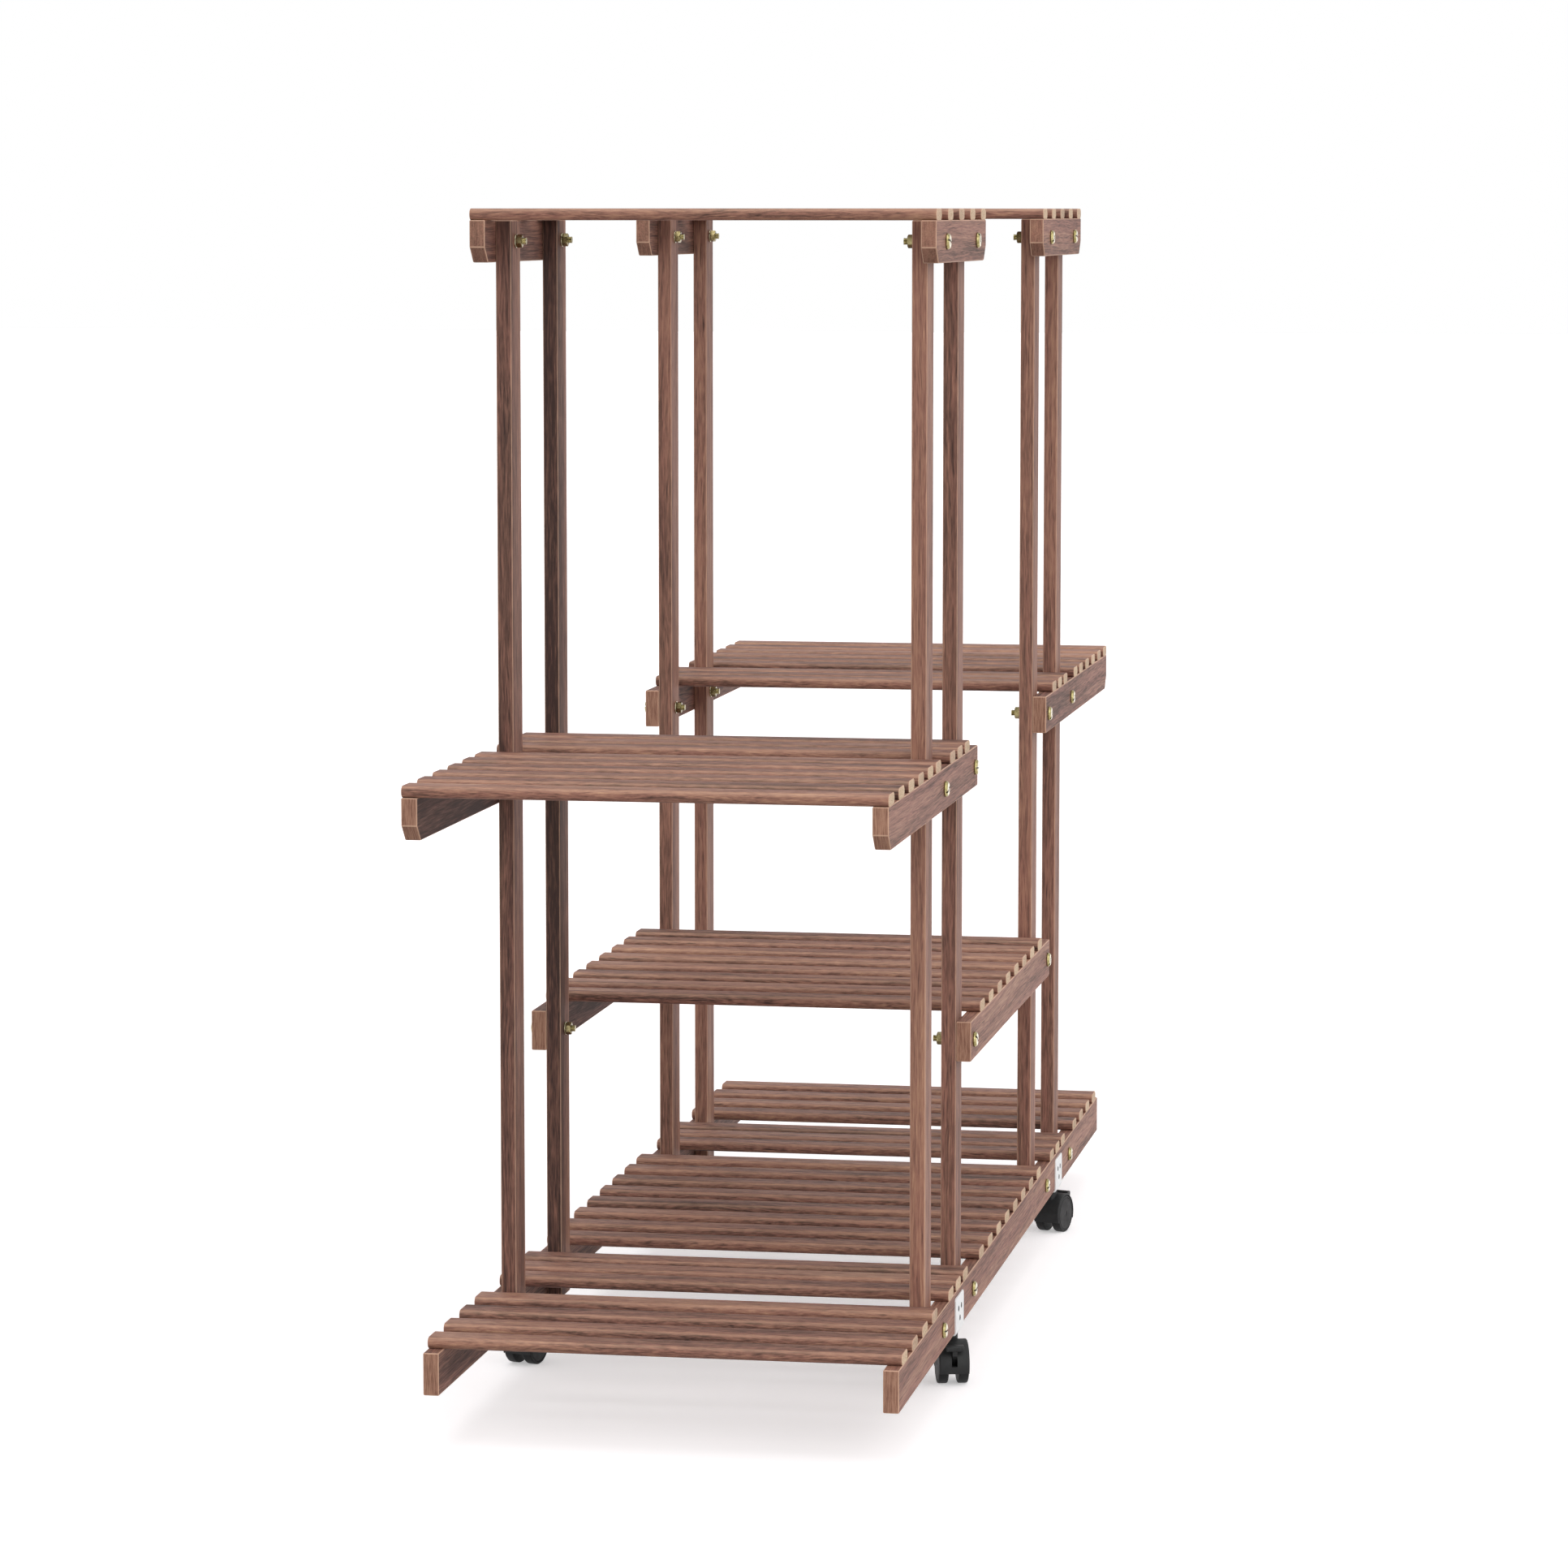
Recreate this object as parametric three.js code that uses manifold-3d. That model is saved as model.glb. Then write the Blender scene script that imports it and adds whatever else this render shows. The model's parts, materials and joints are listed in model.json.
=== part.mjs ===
// A two-tower flower cart stand: slatted shelves on bolted timber rails, rolling on four
// swivelling twin-wheel casters. Millimetres, +Z up, the floor at Z = 0.
// X runs along the slats, Y along the rails. The near tower is at -Y, the far tower at +Y.

import * as THREE from 'three';
import { mergeVertices } from 'three/addons/utils/BufferGeometryUtils.js';
import Module from 'manifold-3d';

const wasm = await Module();
wasm.setup();

// ---------------------------------------------------------------- driving dimensions

// timber sections
const BOARD_WIDTH = 36;           // rails stand on this edge to edge, posts face the side with it
const BOARD_THICKNESS = 13.5;
const SLAT_WIDTH = 30;
const SLAT_THICKNESS = 10;
const SLAT_ROUNDING = 4.7;        // radius of the slat's long edges, at most half its thickness
const SLAT_SEAT = 0.25;           // the slats are pressed this far into the rails

// overall layout
const SLAT_LENGTH = 400;          // the slats end flush with the outer faces of the rails
const TOWER_MIDDLE = 352;         // centre of each tower from the middle of the stand, along Y
const TOWER_DEPTH = 220;          // over the outer faces of a tower's two posts

// heights of the slats' upper faces above the floor
const DECK_LEVEL = 92;
const CENTRE_LEVEL = 318;
const SHELF_LEVEL = 562;
const TOP_LEVEL = 1027;

// how far the rails run, and how their lower corners are cut
const DECK_OVERHANG = 231.5;      // deck rail beyond the outer post
const SHELF_OVERHANG = 292;       // near and far shelf rail beyond the outer post
const TOP_OVERHANG = 40;          // top shelf rail beyond either post
const CORNER_CUT = 13;            // 45 degree cut at a rail's lower corner

// slat layout
const DECK_END_SLATS = 4;
const SHELF_END_SLATS = 6;
const TOWER_SLATS = 3;
const CENTRE_SLATS = 8;
const TOP_SLATS = 5;
const DECK_END_INSET = 16;        // first deck slat from the rail's end
const DECK_POST_GAP = 16;         // last deck end slat from the post
const SHELF_PITCH = 53;           // spacing of the overhanging shelf slats, from the flush end one
const SHELF_POST_GAP = 4;         // the last one closes up to the post by this much
const CENTRE_PITCH = 58.2;

// bolts through rail and post
const BOLT_DIAMETER = 6;
const BOLT_CLEARANCE = 0.3;       // round the shank in the timber
const HEAD_DIAMETER = 13.6;
const HEAD_HEIGHT = 3.5;
const HEAD_RIM = 1.2;             // straight edge of the head, below its dome
const RECESS_DIAMETER = 5;        // cone-shaped in the solid
const RECESS_DEPTH = 1.8;
const WASHER_DIAMETER = 12;
const WASHER_THICKNESS = 1.2;
const NUT_ACROSS_FLATS = 10;
const NUT_THICKNESS = 5;
const BOLT_END = 3.3;             // thread standing out of the nut

// caster bracket: an L of sheet on the rail's outer face and under it
const BRACKET_THICKNESS = 1.5;
const BRACKET_WIDTH = 47;
const BRACKET_RISE = 31.5;        // upright leg above the rail's underside
const BRACKET_REACH = 20;         // lower leg, from the rail's outer face inwards
const BRACKET_CLIP = 2.5;         // upper corners of the upright leg
const SCREW_DIAMETER = 3;
const SCREW_HEAD_DIAMETER = 5.2;
const SCREW_HEAD_SINK = 0.8;      // the head's face below the bracket's face
const SCREW_LENGTH = 10;          // in the timber
const SCREW_SPREAD = 16.5;        // between the two upper screws
const SCREW_UPPER = 20.2;         // above the rail's underside
const SCREW_LOWER = 10.7;

// casters
const WHEEL_DIAMETER = 37;
const WHEEL_WIDTH = 8.8;
const WHEEL_EDGE = 1.2;           // chamfer round the tread
const WHEEL_GAP = 9;              // between the two wheels of a caster
const CAP_DIAMETER = 33;          // flat outer face of a wheel
const AXLE_DIAMETER = 4;
const AXLE_REACH = 5.8;           // into each wheel
const HOOD_WALL = 1.4;
const HOOD_EDGE = 1;              // chamfer round the hood's two rims
const HOOD_SKIRT = 7;             // hood's lower edge below the axle
const TRAIL = 8;                  // axle behind the swivel
const NECK_DIAMETER = 12.5;
const STEM_DIAMETER = 5;
const RIVET_DIAMETER = 9;
const RIVET_HEIGHT = 1.6;
const RIVET_ROOM = 0.6;           // round and over the rivet's head, in the rail
const CASTER_TURN = 15.6;         // how far each caster stands swivelled off the rails, degrees

// brake lever, seen from the side: u behind the axle, v above it
const LEVER_PIVOT_U = 9.5;
const LEVER_PIVOT_V = 3;
const LEVER_PIN_DIAMETER = 3;
const LEVER_BOSS_DIAMETER = 6.4;
const LEVER_THICKNESS = 4.4;
const TAB_WIDTH = 15.5;
const TAB_THICKNESS = 5.2;
const TAB_LENGTH = 7.5;
const TAB_U = 17.4;               // the tab's inner lower edge
const TAB_V = 14;
const ARM_HEEL = [22, 9.6];       // lowest outer point of the arm that carries the tab
const LEVER_TRAVEL = 25;          // degrees, from free to braked

const RUNNING = 0.3;              // gap between pieces that move against each other

// ---------------------------------------------------------------- worked-out places

const RAIL_OUTER = SLAT_LENGTH / 2;
const RAIL_INNER = RAIL_OUTER - BOARD_THICKNESS;
const POST_INNER = RAIL_INNER - BOARD_THICKNESS;
const RAIL_MIDDLE = (RAIL_OUTER + RAIL_INNER) / 2;
const POST_MIDDLE = (RAIL_INNER + POST_INNER) / 2;

const TOWER_OUTER = TOWER_MIDDLE + TOWER_DEPTH / 2;   // outer face of the outer post
const TOWER_INNER = TOWER_MIDDLE - TOWER_DEPTH / 2;   // inner face of the inner post
const OUTER_POST = TOWER_OUTER - BOARD_WIDTH / 2;
const INNER_POST = TOWER_INNER + BOARD_WIDTH / 2;

/** Height of the rails' upper edge under slats whose upper faces are at a level. */
const railTop = (level) => level - SLAT_THICKNESS + SLAT_SEAT;
const boltHeight = (level) => railTop(level) - BOARD_WIDTH / 2;
const DECK_UNDERSIDE = railTop(DECK_LEVEL) - BOARD_WIDTH;
const BRACKET_UNDERSIDE = DECK_UNDERSIDE - BRACKET_THICKNESS;
const WHEEL_RADIUS = WHEEL_DIAMETER / 2;
const HOOD_HALF_WIDTH = WHEEL_GAP / 2 + WHEEL_WIDTH + RUNNING / 2;

// how finely round shapes are faceted
const SLAT_ARC_STEPS = 2;         // on each rounded edge
const BOLT_SIDES = 8;
const SCREW_SIDES = 6;
const STEM_SIDES = 12;
const WHEEL_SIDES = 24;
const HOOD_SIDES = 28;
// a wheel's corners stand out this far, so that its flats lie on its true radius
const WHEEL_CORNER = 1 / Math.cos(Math.PI / WHEEL_SIDES);

// ---------------------------------------------------------------- solids

/** A closed geometry as a solid that can be joined and cut. */
function solid(geometry) {
  const bare = geometry.clone();
  bare.deleteAttribute('normal');
  bare.deleteAttribute('uv');
  const merged = mergeVertices(bare);
  return new wasm.Manifold(new wasm.Mesh({
    numProp: 3,
    vertProperties: new Float32Array(merged.attributes.position.array),
    triVerts: new Uint32Array(merged.index.array),
  }));
}

/** A solid back as a geometry. */
function geometryOf(body) {
  const mesh = body.getMesh();
  const geometry = new THREE.BufferGeometry();
  geometry.setAttribute('position', new THREE.BufferAttribute(mesh.vertProperties, 3));
  geometry.setIndex(new THREE.BufferAttribute(mesh.triVerts, 1));
  geometry.computeVertexNormals();
  return geometry;
}

function join(bodies) {
  return bodies.reduce((whole, body) => whole.add(body));
}

/** A box between two corners. */
function block(low, high) {
  const size = high.map((value, axis) => value - low[axis]);
  const geometry = new THREE.BoxGeometry(...size);
  geometry.translate(...high.map((value, axis) => (value + low[axis]) / 2));
  return solid(geometry);
}

/** An outline in Y and Z, carried along X from one place to another. */
function prismAlongX(shape, from, to, curveSegments = 1) {
  const geometry = new THREE.ExtrudeGeometry(shape, {
    depth: to - from, bevelEnabled: false, curveSegments,
  });
  geometry.rotateX(Math.PI / 2);
  geometry.rotateZ(Math.PI / 2);
  geometry.translate(from, 0, 0);
  return solid(geometry);
}

/** A closed or axis-to-axis profile of [radius, x] points, turned about the X axis. */
function turnedAboutX(profile, sides, phase = 0) {
  const points = profile.map(([radius, x]) => new THREE.Vector2(radius, x));
  const geometry = new THREE.LatheGeometry(points, sides);
  geometry.rotateY(phase);
  geometry.rotateZ(-Math.PI / 2);
  return solid(geometry);
}

/** A round bar along X. */
function barAlongX(diameter, from, to, y, z, sides) {
  const geometry = new THREE.CylinderGeometry(diameter / 2, diameter / 2, to - from, sides);
  geometry.rotateZ(Math.PI / 2);
  geometry.translate((from + to) / 2, y, z);
  return solid(geometry);
}

/** A round bar along Z, standing on the Z axis moved by x and y. */
function barAlongZ(diameter, from, to, x, y, sides) {
  const geometry = new THREE.CylinderGeometry(diameter / 2, diameter / 2, to - from, sides);
  geometry.rotateX(Math.PI / 2);
  geometry.translate(x, y, (from + to) / 2);
  return solid(geometry);
}

function outline(points) {
  return new THREE.Shape(points.map(([y, z]) => new THREE.Vector2(y, z)));
}

// ---------------------------------------------------------------- materials

function finish(color, roughness, metalness) {
  return () => new THREE.MeshStandardMaterial({ color, roughness, metalness });
}

const stainedWood = finish(0x8a5e50, 0.6, 0);
const yellowZinc = finish(0xd8c46a, 0.3, 0.9);
const whitePaint = finish(0xefefed, 0.4, 0);
const blackPlastic = finish(0x2a2a2b, 0.5, 0);

const stand = new THREE.Group();

function addMesh(parent, name, geometry, material) {
  const mesh = new THREE.Mesh(geometry, material());
  mesh.name = name;
  parent.add(mesh);
  return mesh;
}

// ---------------------------------------------------------------- slatted shelves

/** A slat's section: a flat bar with rounded long edges, its underside at Z = 0. */
function slatOutline() {
  const half = SLAT_WIDTH / 2;
  const top = SLAT_THICKNESS;
  const r = Math.min(SLAT_ROUNDING, SLAT_THICKNESS / 2);
  const shape = new THREE.Shape();
  shape.moveTo(-half + r, 0);
  shape.lineTo(half - r, 0);
  shape.absarc(half - r, r, r, -Math.PI / 2, 0);
  shape.absarc(half - r, top - r, r, 0, Math.PI / 2);
  shape.absarc(-half + r, top - r, r, Math.PI / 2, Math.PI);
  shape.absarc(-half + r, r, r, Math.PI, 1.5 * Math.PI);
  return shape;
}

const SLAT = prismAlongX(slatOutline(), -SLAT_LENGTH / 2, SLAT_LENGTH / 2, SLAT_ARC_STEPS);

/** A rail from one Y to another, its top at Z = 0, with its lower corners cut as asked. */
function rail(from, to, cutFrom, cutTo) {
  const points = [[to, 0], [from, 0]];
  points.push([from, -BOARD_WIDTH + cutFrom]);
  if (cutFrom > 0) points.push([from + cutFrom, -BOARD_WIDTH]);
  if (cutTo > 0) points.push([to - cutTo, -BOARD_WIDTH]);
  points.push([to, -BOARD_WIDTH + cutTo]);
  return prismAlongX(outline(points), -BOARD_THICKNESS / 2, BOARD_THICKNESS / 2);
}

/** A shelf: two rails with their slats laid across them and pinned down, drilled for the bolts. */
function shelf({ name, level, from, to, cutFrom = 0, cutTo = 0, slats, posts, cut = [] }) {
  const board = rail(from, to, cutFrom, cutTo);
  const pieces = [-RAIL_MIDDLE, RAIL_MIDDLE].map((x) => board.translate([x, 0, railTop(level)]));
  for (const y of slats) pieces.push(SLAT.translate([0, y, level - SLAT_THICKNESS]));
  const holes = posts.map((y) => boltHole(y, boltHeight(level)));
  const drilled = join(pieces).subtract(join([...holes, ...cut]));
  addMesh(stand, name, geometryOf(drilled), stainedWood);
}

/** A hole for a bolt, through the rails and posts of both sides. */
function boltHole(y, z) {
  return barAlongX(BOLT_DIAMETER + 2 * BOLT_CLEARANCE, -SLAT_LENGTH, SLAT_LENGTH, y, z, BOLT_SIDES);
}

/** Slat centres with equal gaps between two stops, the first and last set off by the same gap. */
function evenlyBetween(low, high, count) {
  const gap = (high - low - count * SLAT_WIDTH) / (count + 1);
  return Array.from({ length: count }, (_, i) => low + gap + SLAT_WIDTH / 2 + i * (SLAT_WIDTH + gap));
}

/** Slat centres from one edge to another, the first and last flush with them. */
function flushBetween(low, high, count) {
  const pitch = (high - low - SLAT_WIDTH) / (count - 1);
  return Array.from({ length: count }, (_, i) => low + SLAT_WIDTH / 2 + i * pitch);
}

const mirrored = (places) => places.map((y) => -y);

// the slats are laid out on the far half, and mirrored for the near half
const deckEnd = TOWER_OUTER + DECK_OVERHANG;
const shelfEnd = TOWER_OUTER + SHELF_OVERHANG;
const topNear = TOWER_INNER - TOP_OVERHANG;
const topFar = TOWER_OUTER + TOP_OVERHANG;

const towerSlats = evenlyBetween(TOWER_INNER + BOARD_WIDTH, TOWER_OUTER - BOARD_WIDTH, TOWER_SLATS);
const deckEndSlats = flushBetween(TOWER_OUTER + DECK_POST_GAP, deckEnd - DECK_END_INSET, DECK_END_SLATS);
const shelfEndSlats = [TOWER_OUTER + SHELF_POST_GAP + SLAT_WIDTH / 2];
for (let i = 0; i < SHELF_END_SLATS - 1; i += 1) {
  shelfEndSlats.push(shelfEnd - SLAT_WIDTH / 2 - i * SHELF_PITCH);
}
const centreSlats = Array.from(
  { length: CENTRE_SLATS },
  (_, i) => (i - (CENTRE_SLATS - 1) / 2) * CENTRE_PITCH,
);
const topSlats = flushBetween(topNear, topFar, TOP_SLATS);
const deckSlats = [...towerSlats, ...deckEndSlats];
const shelfSlats = [...towerSlats, ...shelfEndSlats];

const postPlaces = [-OUTER_POST, -INNER_POST, INNER_POST, OUTER_POST];
const SHELVES = [
  {
    name: 'bottom_deck', level: DECK_LEVEL, from: -deckEnd, to: deckEnd,
    slats: [...mirrored(deckSlats), ...centreSlats, ...deckSlats], posts: [0, 1, 2, 3],
    cut: casterCuts(),
  },
  {
    name: 'centre_shelf', level: CENTRE_LEVEL,
    from: -TOWER_INNER - BOARD_WIDTH, to: TOWER_INNER + BOARD_WIDTH,
    slats: centreSlats, posts: [1, 2],
  },
  {
    name: 'near_shelf', level: SHELF_LEVEL, from: -shelfEnd, to: -TOWER_INNER,
    cutFrom: CORNER_CUT, slats: mirrored(shelfSlats), posts: [0, 1],
  },
  {
    name: 'far_shelf', level: SHELF_LEVEL, from: TOWER_INNER, to: shelfEnd,
    cutTo: CORNER_CUT, slats: shelfSlats, posts: [2, 3],
  },
  {
    name: 'near_top_shelf', level: TOP_LEVEL, from: -topFar, to: -topNear,
    cutFrom: CORNER_CUT, cutTo: CORNER_CUT, slats: mirrored(topSlats), posts: [0, 1],
  },
  {
    name: 'far_top_shelf', level: TOP_LEVEL, from: topNear, to: topFar,
    cutFrom: CORNER_CUT, cutTo: CORNER_CUT, slats: topSlats, posts: [2, 3],
  },
];

/** Room in the deck's rails for the casters' rivets and the brackets' screws. */
function casterCuts() {
  const cuts = [];
  for (const y of [-TOWER_MIDDLE, TOWER_MIDDLE]) {
    for (const side of [-1, 1]) {
      const roof = DECK_UNDERSIDE + RUNNING + RIVET_HEIGHT + RIVET_ROOM;
      const width = RIVET_DIAMETER + 2 * RIVET_ROOM;
      cuts.push(barAlongZ(width, DECK_UNDERSIDE - 1, roof, side * RAIL_MIDDLE, y, STEM_SIDES));
    }
    for (const [dy, z] of screwPlaces()) {
      const width = SCREW_DIAMETER + 2 * RUNNING;
      const depth = SCREW_LENGTH + RUNNING;
      for (const side of [-1, 1]) {
        const ends = [side * RAIL_OUTER + side, side * (RAIL_OUTER - depth)].sort((a, b) => a - b);
        cuts.push(barAlongX(width, ends[0], ends[1], y + dy, z, SCREW_SIDES));
      }
    }
  }
  return cuts;
}

/** The three screws of a bracket: along Y from its middle, and height above the floor. */
function screwPlaces() {
  return [
    [-SCREW_SPREAD / 2, DECK_UNDERSIDE + SCREW_UPPER],
    [SCREW_SPREAD / 2, DECK_UNDERSIDE + SCREW_UPPER],
    [0, DECK_UNDERSIDE + SCREW_LOWER],
  ];
}

for (const plan of SHELVES) {
  shelf({ ...plan, posts: plan.posts.map((i) => postPlaces[i]) });
}

// ---------------------------------------------------------------- posts

/** A post, its foot level with the deck rails' underside, its top under the top slats. */
function addPost(side, index) {
  const y = postPlaces[index];
  const sideName = side < 0 ? 'left' : 'right';
  const low = [POST_INNER, y - BOARD_WIDTH / 2, DECK_UNDERSIDE];
  const high = [RAIL_INNER, y + BOARD_WIDTH / 2, TOP_LEVEL - SLAT_THICKNESS];
  const holes = SHELVES.filter((plan) => plan.posts.includes(index))
    .map((plan) => boltHole(y, boltHeight(plan.level)));
  const board = block(low, high).subtract(join(holes)).translate([-POST_MIDDLE, -y, 0]);
  const mesh = addMesh(stand, `post_${sideName}_${index + 1}`, geometryOf(board), stainedWood);
  mesh.position.set(side * POST_MIDDLE, y, 0);
}

for (const side of [-1, 1]) {
  for (const index of postPlaces.keys()) addPost(side, index);
}

// ---------------------------------------------------------------- bolts

/** Bolt, washer and nut, tightened over two boards. X = 0 is the rail's outer face. */
function boltGeometry() {
  const shank = BOLT_DIAMETER / 2;
  const head = HEAD_DIAMETER / 2;
  const washer = WASHER_DIAMETER / 2;
  const washerFace = -2 * BOARD_THICKNESS;
  const nutFace = washerFace - WASHER_THICKNESS;
  const nutEnd = nutFace - NUT_THICKNESS;
  const turned = turnedAboutX([
    [0, nutEnd - BOLT_END], [shank, nutEnd - BOLT_END], [shank, nutFace], [washer, nutFace],
    [washer, washerFace], [shank, washerFace], [shank, 0], [head, 0], [head, HEAD_RIM],
    [RECESS_DIAMETER / 2, HEAD_HEIGHT], [0, HEAD_HEIGHT - RECESS_DEPTH],
  ], BOLT_SIDES);
  const nutWidth = NUT_ACROSS_FLATS / Math.cos(Math.PI / 6);
  return geometryOf(turned.add(barAlongX(nutWidth, nutEnd, nutFace + 0.5, 0, 0, 6)));
}

const BOLT = boltGeometry();

for (const plan of SHELVES) {
  for (const side of [-1, 1]) {
    for (const index of plan.posts) {
      const sideName = side < 0 ? 'left' : 'right';
      const bolt = addMesh(stand, `bolt_${plan.name}_${sideName}_${index + 1}`, BOLT, yellowZinc);
      bolt.position.set(side * RAIL_OUTER, postPlaces[index], boltHeight(plan.level));
      bolt.rotation.z = side < 0 ? Math.PI : 0;
    }
  }
}

// ---------------------------------------------------------------- caster brackets

/** An L of sheet with its three screws, for the right-hand rail, its middle at Y = 0. */
function bracketGeometry() {
  const half = BRACKET_WIDTH / 2;
  const top = DECK_UNDERSIDE + BRACKET_RISE;
  const upright = prismAlongX(outline([
    [-half, BRACKET_UNDERSIDE], [half, BRACKET_UNDERSIDE],
    [half, top - BRACKET_CLIP], [half - BRACKET_CLIP, top],
    [-half + BRACKET_CLIP, top], [-half, top - BRACKET_CLIP],
  ]), RAIL_OUTER, RAIL_OUTER + BRACKET_THICKNESS);
  const foot = block(
    [RAIL_OUTER - BRACKET_REACH, -half, BRACKET_UNDERSIDE],
    [RAIL_OUTER + BRACKET_THICKNESS, half, DECK_UNDERSIDE],
  );
  const stemHole = barAlongZ(
    STEM_DIAMETER + 2 * RUNNING, BRACKET_UNDERSIDE - 1, DECK_UNDERSIDE + 1, RAIL_MIDDLE, 0, STEM_SIDES,
  );
  let bracket = upright.add(foot).subtract(stemHole);
  const face = RAIL_OUTER + BRACKET_THICKNESS;
  const bedded = (RAIL_OUTER + face - SCREW_HEAD_SINK) / 2;
  for (const [y, z] of screwPlaces()) {
    const sink = barAlongX(SCREW_HEAD_DIAMETER, face - SCREW_HEAD_SINK, face + 1, y, z, SCREW_SIDES);
    const screw = barAlongX(SCREW_DIAMETER, RAIL_OUTER - SCREW_LENGTH, bedded, y, z, SCREW_SIDES);
    bracket = bracket.subtract(sink).add(screw);
  }
  return geometryOf(bracket);
}

// ---------------------------------------------------------------- casters

// A caster stands on its swivel axis, rolling along Y, its axle TRAIL behind at +Y.

/** Side view outline, given behind and above the axle. */
function casterOutline(points) {
  return outline(points.map(([u, v]) => [TRAIL + u, WHEEL_RADIUS + v]));
}

function atAxle(body) {
  return body.translate([0, TRAIL, WHEEL_RADIUS]);
}

/** The room that a brake lever needs inside the hood as it swings down, open to the back. */
function leverPocket() {
  const half = LEVER_THICKNESS / 2 + RUNNING;
  const boss = LEVER_BOSS_DIAMETER / 2 + RUNNING;
  const front = LEVER_PIVOT_U - boss;
  const behind = TAB_U + TAB_LENGTH;
  const low = Math.min(LEVER_PIVOT_V - boss, heightWhenBraked(...ARM_HEEL) - RUNNING);
  const high = TAB_V + RUNNING;
  return prismAlongX(casterOutline([
    [front, low], [behind, low], [behind, high], [TAB_U - 1, high], [front, LEVER_PIVOT_V + boss],
  ]), -half, half);
}

/** Where a point of the lever comes to above the axle when the lever is pressed down. */
function heightWhenBraked(u, v) {
  const angle = THREE.MathUtils.degToRad(-LEVER_TRAVEL);
  const along = u - LEVER_PIVOT_U;
  const above = v - LEVER_PIVOT_V;
  return LEVER_PIVOT_V + along * Math.sin(angle) + above * Math.cos(angle);
}

/** The hood over two wheels, with its web, neck, axle and the rivet it swivels on. */
function hoodGeometry(braked) {
  const rim = HOOD_HALF_WIDTH;
  const outer = WHEEL_RADIUS * WHEEL_CORNER + RUNNING + HOOD_WALL;
  const inner = outer - HOOD_WALL;
  const web = WHEEL_GAP / 2 - RUNNING;
  const shell = atAxle(turnedAboutX([
    [0, -rim], [outer - HOOD_EDGE, -rim], [outer, -rim + HOOD_EDGE],
    [outer, rim - HOOD_EDGE], [outer - HOOD_EDGE, rim], [0, rim],
  ], HOOD_SIDES));
  const neckTop = BRACKET_UNDERSIDE - RUNNING;
  const neck = barAlongZ(NECK_DIAMETER, WHEEL_RADIUS, neckTop, 0, 0, STEM_SIDES);
  const wells = [-1, 1].map((side) => {
    const ends = [side * web, side * (rim + 1)].sort((a, b) => a - b);
    return barAlongX(2 * inner, ends[0], ends[1], TRAIL, WHEEL_RADIUS, HOOD_SIDES);
  });
  const below = atAxle(block([-rim - 1, -outer - 1, -outer - 1], [rim + 1, outer + 1, -HOOD_SKIRT]));
  let hood = shell.add(neck).subtract(join([...wells, below]));
  const axleEnd = WHEEL_GAP / 2 + AXLE_REACH;
  hood = hood.add(barAlongX(AXLE_DIAMETER, -axleEnd, axleEnd, TRAIL, WHEEL_RADIUS, STEM_SIDES));
  const rivetFoot = DECK_UNDERSIDE + RUNNING;
  hood = hood.add(barAlongZ(STEM_DIAMETER, neckTop - 1, rivetFoot + 0.5, 0, 0, STEM_SIDES));
  hood = hood.add(barAlongZ(RIVET_DIAMETER, rivetFoot, rivetFoot + RIVET_HEIGHT, 0, 0, STEM_SIDES));
  if (!braked) return geometryOf(hood);
  const pin = barAlongX(
    LEVER_PIN_DIAMETER, -web, web, TRAIL + LEVER_PIVOT_U, WHEEL_RADIUS + LEVER_PIVOT_V, STEM_SIDES,
  );
  return geometryOf(hood.subtract(leverPocket()).add(pin));
}

/** The brake lever, free: an arm in the hood's slot with a foot tab outside it. */
function leverGeometry() {
  const half = LEVER_THICKNESS / 2;
  const pivot = [TRAIL + LEVER_PIVOT_U, WHEEL_RADIUS + LEVER_PIVOT_V];
  const boss = barAlongX(LEVER_BOSS_DIAMETER, -half, half, ...pivot, STEM_SIDES);
  const arm = prismAlongX(casterOutline([
    [LEVER_PIVOT_U - 1.6, LEVER_PIVOT_V + 2.6], [LEVER_PIVOT_U + 1.8, LEVER_PIVOT_V - 2.4],
    ARM_HEEL, [ARM_HEEL[0] + 0.4, TAB_V + 1], [TAB_U + 1.6, TAB_V + 1],
  ]), -half, half);
  const tab = prismAlongX(casterOutline([
    [TAB_U, TAB_V], [TAB_U + TAB_LENGTH - 1, TAB_V],
    [TAB_U + TAB_LENGTH, TAB_V + 1.4], [TAB_U + TAB_LENGTH, TAB_V + TAB_THICKNESS - 1.4],
    [TAB_U + TAB_LENGTH - 1.4, TAB_V + TAB_THICKNESS], [TAB_U + 0.8, TAB_V + TAB_THICKNESS],
  ]), -TAB_WIDTH / 2, TAB_WIDTH / 2);
  const bore = barAlongX(LEVER_PIN_DIAMETER + 2 * RUNNING, -half - 1, half + 1, ...pivot, STEM_SIDES);
  return geometryOf(join([boss, arm, tab]).subtract(bore));
}

/** A wheel with a blind bore for the axle and a shallow round cap, at +X of the web. */
function wheelGeometry() {
  const near = WHEEL_GAP / 2;
  const face = near + WHEEL_WIDTH;
  const tread = WHEEL_RADIUS * WHEEL_CORNER;
  const bore = AXLE_DIAMETER / 2 + RUNNING;
  const boreEnd = near + AXLE_REACH + RUNNING;
  const cap = CAP_DIAMETER / 2;
  return geometryOf(turnedAboutX([
    [0, boreEnd], [bore, boreEnd], [bore, near], [tread - WHEEL_EDGE, near],
    [tread, near + WHEEL_EDGE], [tread, face - WHEEL_EDGE], [cap, face], [0, face],
  ], WHEEL_SIDES, Math.PI / WHEEL_SIDES));
}

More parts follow.
